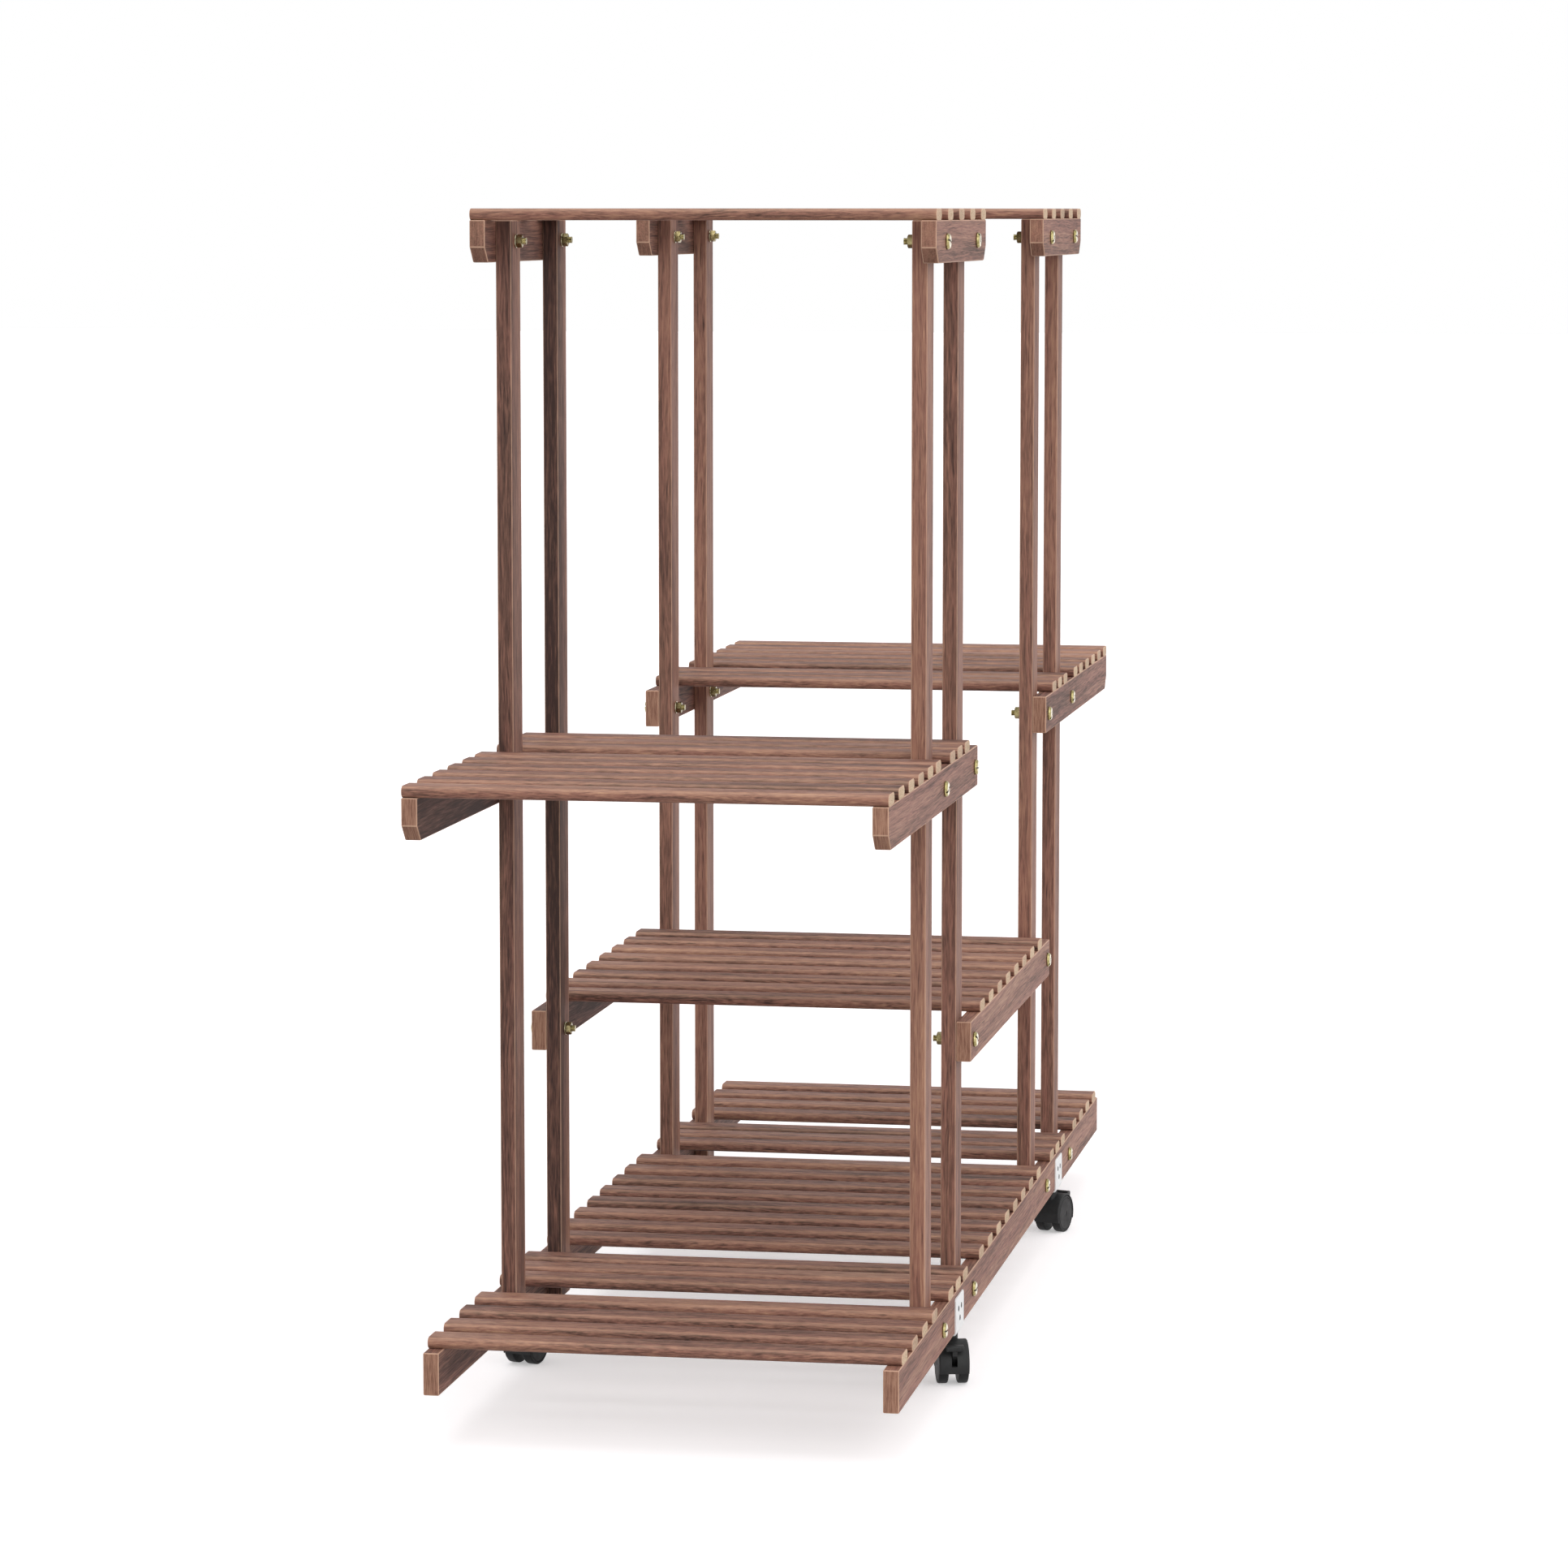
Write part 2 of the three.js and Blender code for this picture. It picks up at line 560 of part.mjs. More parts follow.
const BRACKET = bracketGeometry();
const WHEEL = wheelGeometry();
const LEVER = leverGeometry();
const CASTERS = [
  { place: 'near_left', side: -1, end: -1, turn: -CASTER_TURN, braked: false },
  { place: 'near_right', side: 1, end: -1, turn: CASTER_TURN - 180, braked: true },
  { place: 'far_left', side: -1, end: 1, turn: 180 - CASTER_TURN, braked: false },
  { place: 'far_right', side: 1, end: 1, turn: -CASTER_TURN, braked: true },
];

for (const { place, side, end, turn, braked } of CASTERS) {
  const bracket = addMesh(stand, `bracket_${place}`, BRACKET, whitePaint);
  bracket.position.y = end * TOWER_MIDDLE;
  bracket.rotation.z = side < 0 ? Math.PI : 0;

  const caster = new THREE.Group();
  caster.position.set(side * RAIL_MIDDLE, end * TOWER_MIDDLE, 0);
  caster.rotation.z = THREE.MathUtils.degToRad(turn);
  stand.add(caster);
  addMesh(caster, `caster_${place}_hood`, hoodGeometry(braked), blackPlastic);
  for (const half of [-1, 1]) {
    const wheel = addMesh(caster, `caster_${place}_wheel_${half < 0 ? 'a' : 'b'}`, WHEEL, blackPlastic);
    wheel.position.set(0, TRAIL, WHEEL_RADIUS);
    wheel.rotation.z = half < 0 ? Math.PI : 0;
  }
  if (braked) addMesh(caster, `caster_${place}_brake_lever`, LEVER, blackPlastic);
}

export default stand;
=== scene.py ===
# %% [markdown]
# # A flower cart stand
# The stand is solid wood, stained reddish brown: two towers of four posts each carry slatted
# shelves, and the whole rolls on four small twin-wheel casters. Everything that holds or moves
# is already in the frame, at its real size. This lesson builds the visible pieces around that
# frame: boards with eased edges and a grain of their own, zinc-plated bolts, painted brackets
# and moulded casters. Lengths are in metres. X runs along the slats, Y along the rails, and
# the floor is at Z = 0.

import json
import math
import random

import bmesh
import bpy
from mathutils import Matrix, Vector


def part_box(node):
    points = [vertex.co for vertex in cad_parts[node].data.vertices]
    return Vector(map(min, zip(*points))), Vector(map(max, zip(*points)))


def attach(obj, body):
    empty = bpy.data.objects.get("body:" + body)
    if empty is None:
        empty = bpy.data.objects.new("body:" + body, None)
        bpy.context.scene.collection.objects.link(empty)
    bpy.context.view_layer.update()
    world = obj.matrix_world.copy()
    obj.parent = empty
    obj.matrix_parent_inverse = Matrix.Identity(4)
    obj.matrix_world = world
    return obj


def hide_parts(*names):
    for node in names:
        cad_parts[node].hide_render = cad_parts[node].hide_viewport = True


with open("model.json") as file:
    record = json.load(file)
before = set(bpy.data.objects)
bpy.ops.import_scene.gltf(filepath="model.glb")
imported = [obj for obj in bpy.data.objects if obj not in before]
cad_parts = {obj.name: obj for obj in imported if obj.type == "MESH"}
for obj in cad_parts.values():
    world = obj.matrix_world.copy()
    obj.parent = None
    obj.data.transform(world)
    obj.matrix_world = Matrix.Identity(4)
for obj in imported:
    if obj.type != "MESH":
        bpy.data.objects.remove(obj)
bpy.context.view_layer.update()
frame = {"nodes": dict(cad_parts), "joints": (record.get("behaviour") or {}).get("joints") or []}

# %% [markdown]
# ## Reading sizes from the frame
# A furniture maker measures the carcass before cutting trim. Here the posts tell the section
# of the boards, and each shelf's solid tells where its slats lie: on its left end, the flat of
# every slat's upper face shows as one pair of corners. Reading them keeps one set of sizes.

# %% Board and slat sections
TOUCH = 1e-5  # corners nearer than this lie on the same plane


def corners(node):
    """The corners of a node's solid."""
    return [v.co.copy() for v in frame["nodes"][node].data.vertices]


def limits(points):
    """The lowest and the highest X, Y and Z of some points."""
    return [Vector([pick(p[i] for p in points) for i in range(3)]) for pick in (min, max)]


post_low, post_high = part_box("post_left_1")
BOARD_THICKNESS = post_high.x - post_low.x
BOARD_WIDTH = post_high.y - post_low.y
SLAT_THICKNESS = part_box("near_top_shelf")[1].z - post_high.z
print("board %.1f x %.1f mm" % (BOARD_WIDTH * 1000, BOARD_THICKNESS * 1000))

# %% Where the slats lie
def slats_of(shelf):
    """The rounding of a shelf's slats, and both limits along Y of each of them."""
    low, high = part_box(shelf)
    end = [p for p in corners(shelf)
           if p.x < low.x + TOUCH and p.z > high.z - SLAT_THICKNESS / 2]
    flats = sorted({round(p.y, 6) for p in end if p.z > high.z - TOUCH})
    rounding = min(p.y for p in end if p.z > high.z - TOUCH) - min(p.y for p in end)
    return rounding, [(a - rounding, b + rounding) for a, b in zip(flats[::2], flats[1::2])]


SLAT_ROUNDING, deck_slats = slats_of("bottom_deck")
print(len(deck_slats), "slats on the deck, edges of radius %.2f mm" % (SLAT_ROUNDING * 1000))

# %% [markdown]
# ## Node helpers
# A procedural material is a small program drawn as boxes. These helpers place a box, join it
# to others and set its numbers, so that each material below reads like a recipe.

# %% Helpers for shader trees
def add(tree, kind, inputs=(), **settings):
    """A shader node. An input is a number, or the socket that it is joined to."""
    made = tree.nodes.new("ShaderNode" + kind)
    for name, value in settings.items():
        setattr(made, name, value)
    for key, value in dict(inputs).items():
        if isinstance(value, bpy.types.NodeSocket):
            tree.links.new(value, made.inputs[key])
        else:
            made.inputs[key].default_value = value
    return made


def maths(tree, operation, a, b=0.0):
    """One sum with two numbers or sockets."""
    return add(tree, "Math", {0: a, 1: b}, operation=operation).outputs[0]


def weighted(tree, *terms):
    """The sum of sockets, each times its weight; a bare number is added as it is."""
    total = None
    for term in terms:
        part = maths(tree, "MULTIPLY", *term) if isinstance(term, tuple) else term
        total = part if total is None else maths(tree, "ADD", total, part)
    return total


def mixed(tree, factor, a, b, blend="MIX"):
    """Colour a turning into colour b, or into the two blended in another way."""
    inputs = {0: factor, 6: a, 7: b}
    return add(tree, "Mix", inputs, data_type="RGBA", blend_type=blend).outputs[2]


def stretched(tree, vector, scale):
    """A vector times a scale for each axis."""
    return add(tree, "VectorMath", {0: vector, 1: scale}, operation="MULTIPLY").outputs[0]


def noise(tree, vector, detail=2.0, roughness=0.5, scale=1.0):
    """Soft noise about 0.5."""
    inputs = {"Vector": vector, "Scale": scale, "Detail": detail, "Roughness": roughness}
    return add(tree, "TexNoise", inputs).outputs["Fac"]


def spread(tree, value, low, high, to_low=0.0, to_high=1.0):
    """A value between two limits, stretched to two others and held there."""
    inputs = {0: value, 1: low, 2: high, 3: to_low, 4: to_high}
    return add(tree, "MapRange", inputs, clamp=True).outputs[0]


def colour(code):
    """A colour written as on a paint chart, as Blender's linear numbers."""
    parts = [int(code[i:i + 2], 16) / 255 for i in (1, 3, 5)]
    linear = [c / 12.92 if c <= 0.04045 else ((c + 0.055) / 1.055) ** 2.4 for c in parts]
    return (*linear, 1.0)


def new_group(name, inputs, outputs):
    """An empty node group with named sockets, and what it is given and gives."""
    tree = bpy.data.node_groups.new(name, "ShaderNodeTree")
    for way, sockets in (("INPUT", inputs), ("OUTPUT", outputs)):
        for label, kind in sockets:
            tree.interface.new_socket(label, in_out=way, socket_type="NodeSocket" + kind)
    return tree, tree.nodes.new("NodeGroupInput").outputs, tree.nodes.new("NodeGroupOutput").inputs


def new_material(name, roughness=0.5, metallic=0.0, specular=0.5):
    """A material with one Principled shader, and its tree."""
    material = bpy.data.materials.new(name)
    material.use_nodes = True
    tree = material.node_tree
    shader = tree.nodes["Principled BSDF"]
    shader.inputs["Roughness"].default_value = roughness
    shader.inputs["Metallic"].default_value = metallic
    shader.inputs["Specular IOR Level"].default_value = specular
    return material, tree, shader


def set_bump(tree, shader, height, distance, strength):
    """Lets a height show as relief."""
    inputs = {"Height": height, "Distance": distance, "Strength": strength}
    tree.links.new(add(tree, "Bump", inputs).outputs[0], shader.inputs["Normal"])


# %% [markdown]
# ## Stained timber
# Each board was cut somewhere from a log, so its faces show one and the same grain: rings
# that come out as broad flames on the wide face and as straight lines on the narrow one. The
# pattern is therefore a solid one. Every board carries its own place in the log as a vector
# stored at its corners: along the trunk, across the rings' flat side and through the rings.
# The group turns that place into a colour, a shade and a height: slow dark drifts, bent
# rings, flecks, veins and fibres, and the short dark pores that take up most stain.

# %% The timber group
RING = 0.0052  # from one ring to the next
ARCH, TILT, BEND = 9.0, 0.02, 6.0  # how the rings curve, lean and wave
WANDERINGS = [((7.0, 14.0, 14.0), 0.018), ((32.0, 70.0, 70.0), 0.0035)]  # scale and reach
NOISES = [  # lumps per metre along and across, detail and roughness
    (4.5, 42.0, 2.0, 0.5),  # drift: slow changes of tone
    (4.0, 38.0, 2.0, 0.5),  # bend: how the rings wave
    (36.0, 210.0, 3.0, 0.6),  # flecks
    (36.0, 560.0, 3.0, 0.65),  # veins
    (130.0, 850.0, 3.0, 0.6),  # fibres
    (95.0, 800.0, 1.0, 0.5),  # pores
    (14.0, 90.0, 2.0, 0.5),  # patches in which the pores are open
    (7.0, 120.0, 2.0, 0.5),  # hue: rosy and brown streaks
]
STAIN = [(0.0, "#3c2b26"), (0.25, "#664a3f"), (0.5, "#8f6757"), (0.75, "#a98068"),
         (1.0, "#c29b7c")]
ROSE_TINT = (1.0, 0.91, 0.96, 1.0)
timber, given, taken = new_group(
    "timber_grain",
    [("Place", "Vector"), *((key, "Float") for key in
                            ("Along", "Tone", "Drift", "Rings", "Fibre", "Pores", "Rose"))],
    [("Color", "Color"), ("Shade", "Float"), ("Height", "Float")],
)


def wandering(tree, vector, scale, reach):
    """A place whose grain lines wander sideways, as round a branch."""
    inputs = {"Vector": stretched(tree, vector, scale), "Scale": 1.0, "Detail": 1.0}
    drawn = add(tree, "TexNoise", inputs).outputs["Color"]
    inputs = {0: drawn, 1: (0.5, 0.5, 0.5)}
    centred = add(tree, "VectorMath", inputs, operation="SUBTRACT").outputs[0]
    inputs = {0: vector, 1: stretched(tree, centred, (0.0, reach, reach))}
    return add(tree, "VectorMath", inputs, operation="ADD").outputs[0]


along = add(timber, "CombineXYZ", {0: given["Along"], 1: 1.0, 2: 1.0}).outputs[0]
place = stretched(timber, given["Place"], along)
for scale, reach in WANDERINGS:
    place = wandering(timber, place, scale, reach)
drift, bend, fleck, vein, fibre, pore, patch, hue = (
    noise(timber, stretched(timber, place, (lengthwise, sideways, sideways)), detail, rough)
    for lengthwise, sideways, detail, rough in NOISES)

axes = add(timber, "SeparateXYZ", {0: place})
arch = maths(timber, "POWER", maths(timber, "ABSOLUTE", axes.outputs["Y"]), 2.0)
layers = weighted(
    timber, (axes.outputs["Z"], 1 / RING), (arch, ARCH / RING),
    (axes.outputs["X"], TILT / RING), (bend, BEND),
)
wave = maths(timber, "SINE", maths(timber, "MULTIPLY", layers, 2 * math.pi))
dash = maths(timber, "MULTIPLY", spread(timber, pore, 0.56, 0.68),
             spread(timber, patch, 0.42, 0.62))


def share(key, weight):
    """An input of the group, times a weight."""
    return maths(timber, "MULTIPLY", given[key], weight)


def swing(value, key, weight):
    """How far a noise is from its middle, and its share."""
    return maths(timber, "SUBTRACT", value, 0.5), share(key, weight)


shade = weighted(
    timber, 0.5, given["Tone"],
    swing(drift, "Drift", 1.1), (wave, share("Rings", 0.3)),
    swing(fleck, "Fibre", 0.4), swing(vein, "Fibre", 1.0), swing(fibre, "Fibre", 1.5),
    (dash, share("Pores", -1.0)),
)
ramp = add(timber, "ValToRGB", {0: shade})
while len(ramp.color_ramp.elements) < len(STAIN):
    ramp.color_ramp.elements.new(0.5)
for element, (position, code) in zip(ramp.color_ramp.elements, STAIN):
    element.position = position
    element.color = colour(code)
rosy = mixed(timber, 1.0, ramp.outputs[0], ROSE_TINT, "MULTIPLY")
how_rosy = maths(timber, "MULTIPLY", spread(timber, hue, 0.35, 0.65), given["Rose"])
timber.links.new(mixed(timber, how_rosy, ramp.outputs[0], rosy), taken["Color"])
timber.links.new(shade, taken["Shade"])
timber.links.new(weighted(timber, (fibre, 0.6), (dash, -0.8)), taken["Height"])
print("timber group:", len(timber.nodes), "nodes")

# %% [markdown]
# ## Three timber finishes
# The slats, the rails and the posts are the same wood, but not the same cut: the slats show
# short lively streaks, the rails long rosy ones, and the posts straight grain with the least
# contrast. All three share the group with other values. Sanding wears the stain off the
# arrises, which leaves a thin pale line; on the slats' long edges the pale line is partly a
# painted highlight. The slats' cut ends are pale too, because they were sanded after staining,
# while those of the rails and posts took it.

# %% Timber materials
END_SHARE = 0.85  # how far a cut end takes its own colours
WORN_AND_SHEEN = colour("#dcb49a")
LESS_WEAR, MORE_WEAR = 0.2, 0.1  # how patchily the stain wears off
DARK_ROUGH, PALE_ROUGH = 0.66, 0.5
PORE_DEPTH, PORE_STRENGTH = 0.00025, 0.35
BROWN_ENDS = ("#7f5848", "#ae846d")
BROAD_RAYS = (20.0, 70.0, 1000.0)


def timber_material(name, end_colours, end_scale, wear, **grain):
    """A stained wood with worn arrises, partly a painted highlight on the slats' long edges, and
    cut ends of their own colours.
    """
    material, tree, shader = new_material(name, specular=0.22)
    read = {key: add(tree, "Attribute", attribute_name=key).outputs for key in
            ("grain", "tone", "arris", "end_grain")}
    place = read["grain"]["Vector"]
    inputs = {"Place": place, "Tone": read["tone"]["Fac"], **grain}
    wood = add(tree, "Group", inputs, node_tree=timber).outputs
    rays = noise(tree, stretched(tree, place, end_scale), 3.0, 0.6)
    patchy = noise(tree, stretched(tree, place, (60.0, 60.0, 60.0)), 2.0)
    pale_end = mixed(tree, spread(tree, rays, 0.35, 0.62), *map(colour, end_colours))
    ended = mixed(tree, maths(tree, "MULTIPLY", read["end_grain"]["Fac"], END_SHARE),
                  wood["Color"], pale_end)
    worn = maths(tree, "MULTIPLY", read["arris"]["Fac"],
                 spread(tree, patchy, 0.3, 0.7, wear - LESS_WEAR, wear + MORE_WEAR))
    roughness = spread(tree, wood["Shade"], 0.1, 0.9, DARK_ROUGH, PALE_ROUGH)
    tree.links.new(mixed(tree, worn, ended, WORN_AND_SHEEN), shader.inputs["Base Color"])
    tree.links.new(roughness, shader.inputs["Roughness"])
    set_bump(tree, shader, wood["Height"], PORE_DEPTH, PORE_STRENGTH)
    return material


SLAT_WOOD = timber_material("slat_wood", ("#c0a07c", "#e8d0ae"), (20.0, 420.0, 900.0), 0.8,
                            Along=0.75, Drift=0.75, Rings=0.15, Fibre=0.75, Pores=0.25, Rose=0.8)
RAIL_WOOD = timber_material("rail_wood", BROWN_ENDS, BROAD_RAYS, 0.95,
                            Along=0.25, Drift=0.8, Rings=0.15, Fibre=0.6, Pores=0.2, Rose=1.0)
POST_WOOD = timber_material("post_wood", BROWN_ENDS, BROAD_RAYS, 0.65,
                            Along=0.4, Drift=0.55, Rings=0.15, Fibre=0.6, Pores=0.2, Rose=0.8)
print("timber finishes:", SLAT_WOOD.name, RAIL_WOOD.name, POST_WOOD.name)

# %% [markdown]
# ## Building solids
# Most pieces here are either an outline carried along an axis or a profile turned on a
# lathe, as in the workshop. Both are built corner by corner. Holes are bored afterwards with
# a Boolean, and sharp edges are eased with a bevel, because an edge that catches the light
# is what makes a small piece look real.

# %% Shaping helpers
UPRIGHT = Matrix.Rotation(-math.pi / 2, 4, "Y")  # turns what lies along X upwards
OVERRUN = 0.001  # how far a cutter runs out of a solid
THROUGH = 0.01  # half the length of a cutter through thin stock
SMOOTH_BELOW = math.radians(50)


def as_mesh(name, bm):
    """A solid stored as a mesh."""
    mesh = bpy.data.meshes.new(name)
    bm.to_mesh(mesh)
    bm.free()
    return mesh


def in_scene(name, data):
    """A new object in the scene."""
    made = bpy.data.objects.new(name, data)
    bpy.context.scene.collection.objects.link(made)
    return made


def skin(bm, rings, caps=()):
    """Joins each ring of corners to the next with faces, and closes the ends with caps."""
    for a, b in zip(rings, rings[1:]):
        sides = max(len(a), len(b))
        for i in range(sides):
            j = (i + 1) % sides
            around = [a[i % len(a)], a[j % len(a)], b[j % len(b)], b[i % len(b)]]
            bm.faces.new(list(dict.fromkeys(around)))
    for cap in caps:
        bm.faces.new(cap)
    bmesh.ops.recalc_face_normals(bm, faces=bm.faces)
    return bm


def rectangle(low_a, low_b, high_a, high_b):
    """The four corners in order."""
    return [(low_a, low_b), (high_a, low_b), (high_a, high_b), (low_a, high_b)]


def prism(outline, low, high, axis):
    """An outline carried along X, Y or Z. Its points are the other two axes, in order."""
    bm = bmesh.new()
    rings = [[bm.verts.new((*point[:axis], end, *point[axis:])) for point in outline]
             for end in (low, high)]
    return skin(bm, rings, (rings[0][::-1], rings[1]))


def around_x(x, radius, i, sides):
    """The place of a corner of a many-sided ring round the X axis."""
    angle = 2 * math.pi * i / sides
    return (x, radius * math.cos(angle), radius * math.sin(angle))


def lathe(profile, sides, matrix=None):
    """A profile of (radius, x) turned about the X axis."""
    bm = bmesh.new()
    rings = [[bm.verts.new(around_x(x, radius, i, sides)) for i in range(sides if radius else 1)]
             for radius, x in profile]
    skin(bm, rings)
    if matrix is not None:
        bm.transform(matrix)
    return bm


def rod(radius, low, high, centre, sides=32, turn=Matrix.Identity(4)):
    """A plain round bar from low to high along X, or along Z if turned upright."""
    profile = [(0, low), (radius, low), (radius, high), (0, high)]
    return lathe(profile, sides, Matrix.Translation(centre) @ turn)


def together(*parts):
    """Several loose solids in one bmesh."""
    whole = bmesh.new()
    for part in parts:
        mesh = as_mesh("part", part)
        whole.from_mesh(mesh)
        bpy.data.meshes.remove(mesh)
    return whole


def carve(body, *tools, operation="DIFFERENCE"):
    """Cuts a solid with others, one after the other, or joins them to it."""
    for tool in tools:
        made = [in_scene("blank", as_mesh("blank", bm)) for bm in (body, tool)]
        modifier = made[0].modifiers.new("cut", "BOOLEAN")
        modifier.operation = operation
        modifier.solver = "EXACT"
        modifier.object = made[1]
        body = bmesh.new()
        body.from_object(made[0], bpy.context.evaluated_depsgraph_get())
        for item in made:
            mesh = item.data
            bpy.data.objects.remove(item)
            bpy.data.meshes.remove(mesh)
    return body


def merge_flats(bm, degrees=0.5):
    """Joins the faces that lie in one plane."""
    bmesh.ops.dissolve_limit(bm, angle_limit=math.radians(degrees), verts=bm.verts,
                             edges=bm.edges)


def arc(centre, radius, start, end, steps):
    """Points on an arc, given in degrees."""
    angles = [math.radians(start + (end - start) * i / steps) for i in range(steps + 1)]
    return [(centre[0] + radius * math.cos(t), centre[1] + radius * math.sin(t)) for t in angles]


def sharp_edges(bm, least=30.0):
    """The edges where two faces meet at more than an angle."""
    limit = math.radians(least)
    return [e for e in bm.edges if len(e.link_faces) == 2 and e.calc_face_angle(0) > limit]


def ease(bm, edges, width, segments=2):
    """Rounds edges over, and gives the corners that lie wholly within the rounding."""
    made = bmesh.ops.bevel(bm, geom=edges, offset=width, segments=segments, profile=0.5,
                           affect="EDGES", clamp_overlap=True)
    rounded = set(made["faces"])
    return [v for v in bm.verts if v.link_faces and all(f in rounded for f in v.link_faces)]


def add_piece(name, bm, material, body, replaces):
    """Makes a solid a piece of the stand: named, finished, and riding on its body."""
    mesh = as_mesh(name, bm)
    mesh.materials.append(material)
    mesh.polygons.foreach_set("use_smooth", [True] * len(mesh.polygons))
    mesh.set_sharp_from_angle(angle=SMOOTH_BELOW)
    piece = in_scene(name, mesh)
    piece.modifiers.new("flat_faces", "WEIGHTED_NORMAL").keep_sharp = True
    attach(piece, body)
    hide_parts(*replaces)


# %% [markdown]
# ## Boards
# Every board gets three records at its corners: its place in the log, how much its arrises
# are worn, with a painted highlight on the slats' long edges, and its tone, with painted shade
# on the posts' near or far edges. Two boards never show the same figure, because each starts
# at another seeded place in the log. The faces across the grain are marked as cut ends.

# %% A board with its grain
ARRIS = 0.0011  # how far the boards' edges are eased
LOG_LENGTH, LOG_HALF, LOG_DEPTH = 40, 0.010, 3  # within which a board's start is drawn
END_FACING = 0.6  # faces turned along the grain more than this are cut ends
chance = random.Random(7)


def place_key(v):
    """A corner's place, by which it is known again once the holes are bored."""
    return tuple(round(c, 6) for c in v.co)


def board(name, bm, axes, tone, material, worn, holes, replaces, pale=1.0, lean=0.0):
    """Bores a board, stores its grain and adds it. axes are along, across and depth.

    pale is the share of their own colours that its cut ends take. lean is painted shade: how
    much darker the board is painted on the near or lower side of its width.
    """
    seen = {place_key(v): share for v, share in worn.items()}
    bm = carve(bm, *holes)
    along, across, depth = axes
    low, high = limits([v.co for v in bm.verts])
    middle = (low + high) / 2
    half = high[across] - middle[across]
    start = (chance.uniform(0, LOG_LENGTH), chance.uniform(-LOG_HALF, LOG_HALF),
             chance.uniform(0, LOG_DEPTH))
    grain = bm.verts.layers.float_vector.new("grain")
    arris = bm.verts.layers.float.new("arris")
    tones = bm.verts.layers.float.new("tone")
    ends = bm.faces.layers.float.new("end_grain")
    for v in bm.verts:
        offset = v.co - middle
        v[grain] = (offset[along] + start[0], offset[across] + start[1], offset[depth] + start[2])
        v[arris] = seen.get(place_key(v), 0.0)
        v[tones] = tone + lean * offset[across] / half
    for f in bm.faces:
        f[ends] = pale if abs(f.normal[along]) > END_FACING else 0.0
    add_piece(name, bm, material, "stand", replaces)


def eased_board(outline, low, high, axis):
    """A board with all its edges eased, and which of its corners are worn."""
    bm = prism(outline, low, high, axis)
    return bm, dict.fromkeys(ease(bm, list(bm.edges), ARRIS), 1.0)


# %% [markdown]
# ## Bolt and screw holes
# The bolts pass through rail and post with a little room, and the casters' rivets and screws
# sit in the deck's rails. The holes hardly show, but without them solid would lie in solid.

# %% Where the bolts go through
BOLT_ROOM = 0.0033  # radius of the hole
SIDES = {"left": -1, "right": 1}
deck_low, deck_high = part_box("bottom_deck")
SIDE_FACE = deck_high.x  # outer face of the rails
RAIL_CENTRE = SIDE_FACE - BOARD_THICKNESS / 2
bolt_nodes = sorted(n for n in frame["nodes"] if n.startswith("bolt_"))


def middle_of(node):
    """The middle of a node's box."""
    low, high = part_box(node)
    return (low + high) / 2


def bolt_hole(node):
    """A borer through everything that a bolt holds."""
    low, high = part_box(node)
    _, y, z = (low + high) / 2
    return rod(BOLT_ROOM, low.x, high.x, (0, y, z), 24)


def bolts_of(shelf="", side="", post=""):
    """The bolts of a shelf, side or post."""
    return [n for n in bolt_nodes if shelf in n and side in n and n.endswith(post)]


print("bolts:", len(bolt_nodes))

# %% [markdown]
# ## Posts
# Eight posts stand on edge, bolted to the inner faces of the rails. Stain takes unevenly, so
# in the photograph the two near posts on the left are the darkest. Each post therefore has a
# tone. It also has a lean, which is painted shade: it darkens the post's near edge or its far one.

# %% Posts
# a post's lean is painted shade on its near edge or its far one
POST_TONES_AND_SHADE = {  # tone and lean of the posts, from the near end to the far one
    "left": [(-0.10, 0.12), (-0.20, 0.22), (-0.02, 0.04), (0.02, 0.0)],
    "right": [(0.0, -0.06), (-0.04, 0.04), (-0.04, 0.0), (-0.02, 0.0)],
}
for side, tones in POST_TONES_AND_SHADE.items():
    for number, (tone, lean) in enumerate(tones, 1):
        node = f"post_{side}_{number}"
        low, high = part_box(node)
        outline = rectangle(low.x, low.y, high.x, high.y)
        post, worn = eased_board(outline, low.z, high.z, 2)
        holes = [bolt_hole(n) for n in bolts_of(side=side, post=str(number))]
        board(node + "_board", post, (2, 1, 0), tone, POST_WOOD, worn, holes, [node], lean=lean)
print("posts:", sum(map(len, POST_TONES_AND_SHADE.values())))

# %% [markdown]
# ## Rails and slats
# A shelf is two rails with slats pinned across them. The rails of the near, far and top
# shelves have their lower corners sawn off, which the frame's solids show: what is left of
# the lower edge is shorter than the rail. The slats have well-rounded long edges, so they
# start as a rounded outline and only their ends are eased. Rails and slats have tones too.

# %% Rails
CASTER_PLACES = ["near_left", "near_right", "far_left", "far_right"]
RIVET_ROOM = (0.0051, 0.0025)  # radius and depth of the pocket for a caster's rivet
SCREW_ROOM = (0.0018, 0.0103)  # radius and depth of a hole for a bracket's screw
SCREW_SPOTS = [(-0.00825, 0.0202), (0.00825, 0.0202), (0.0, 0.0107)]  # along and above


def rail_outline(shelf):
    """A rail seen from the side, its lower corners as sawn."""
    low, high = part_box(shelf)
    feet = [p.y for p in corners(shelf) if p.z < low.z + TOUCH]
    top = low.z + BOARD_WIDTH
    near, far = min(feet) - low.y, high.y - max(feet)
    outline = [(high.y, top), (low.y, top), (low.y, low.z + near), (low.y + near, low.z),
               (high.y - far, low.z), (high.y, low.z + far)]
    return list(dict.fromkeys(outline))


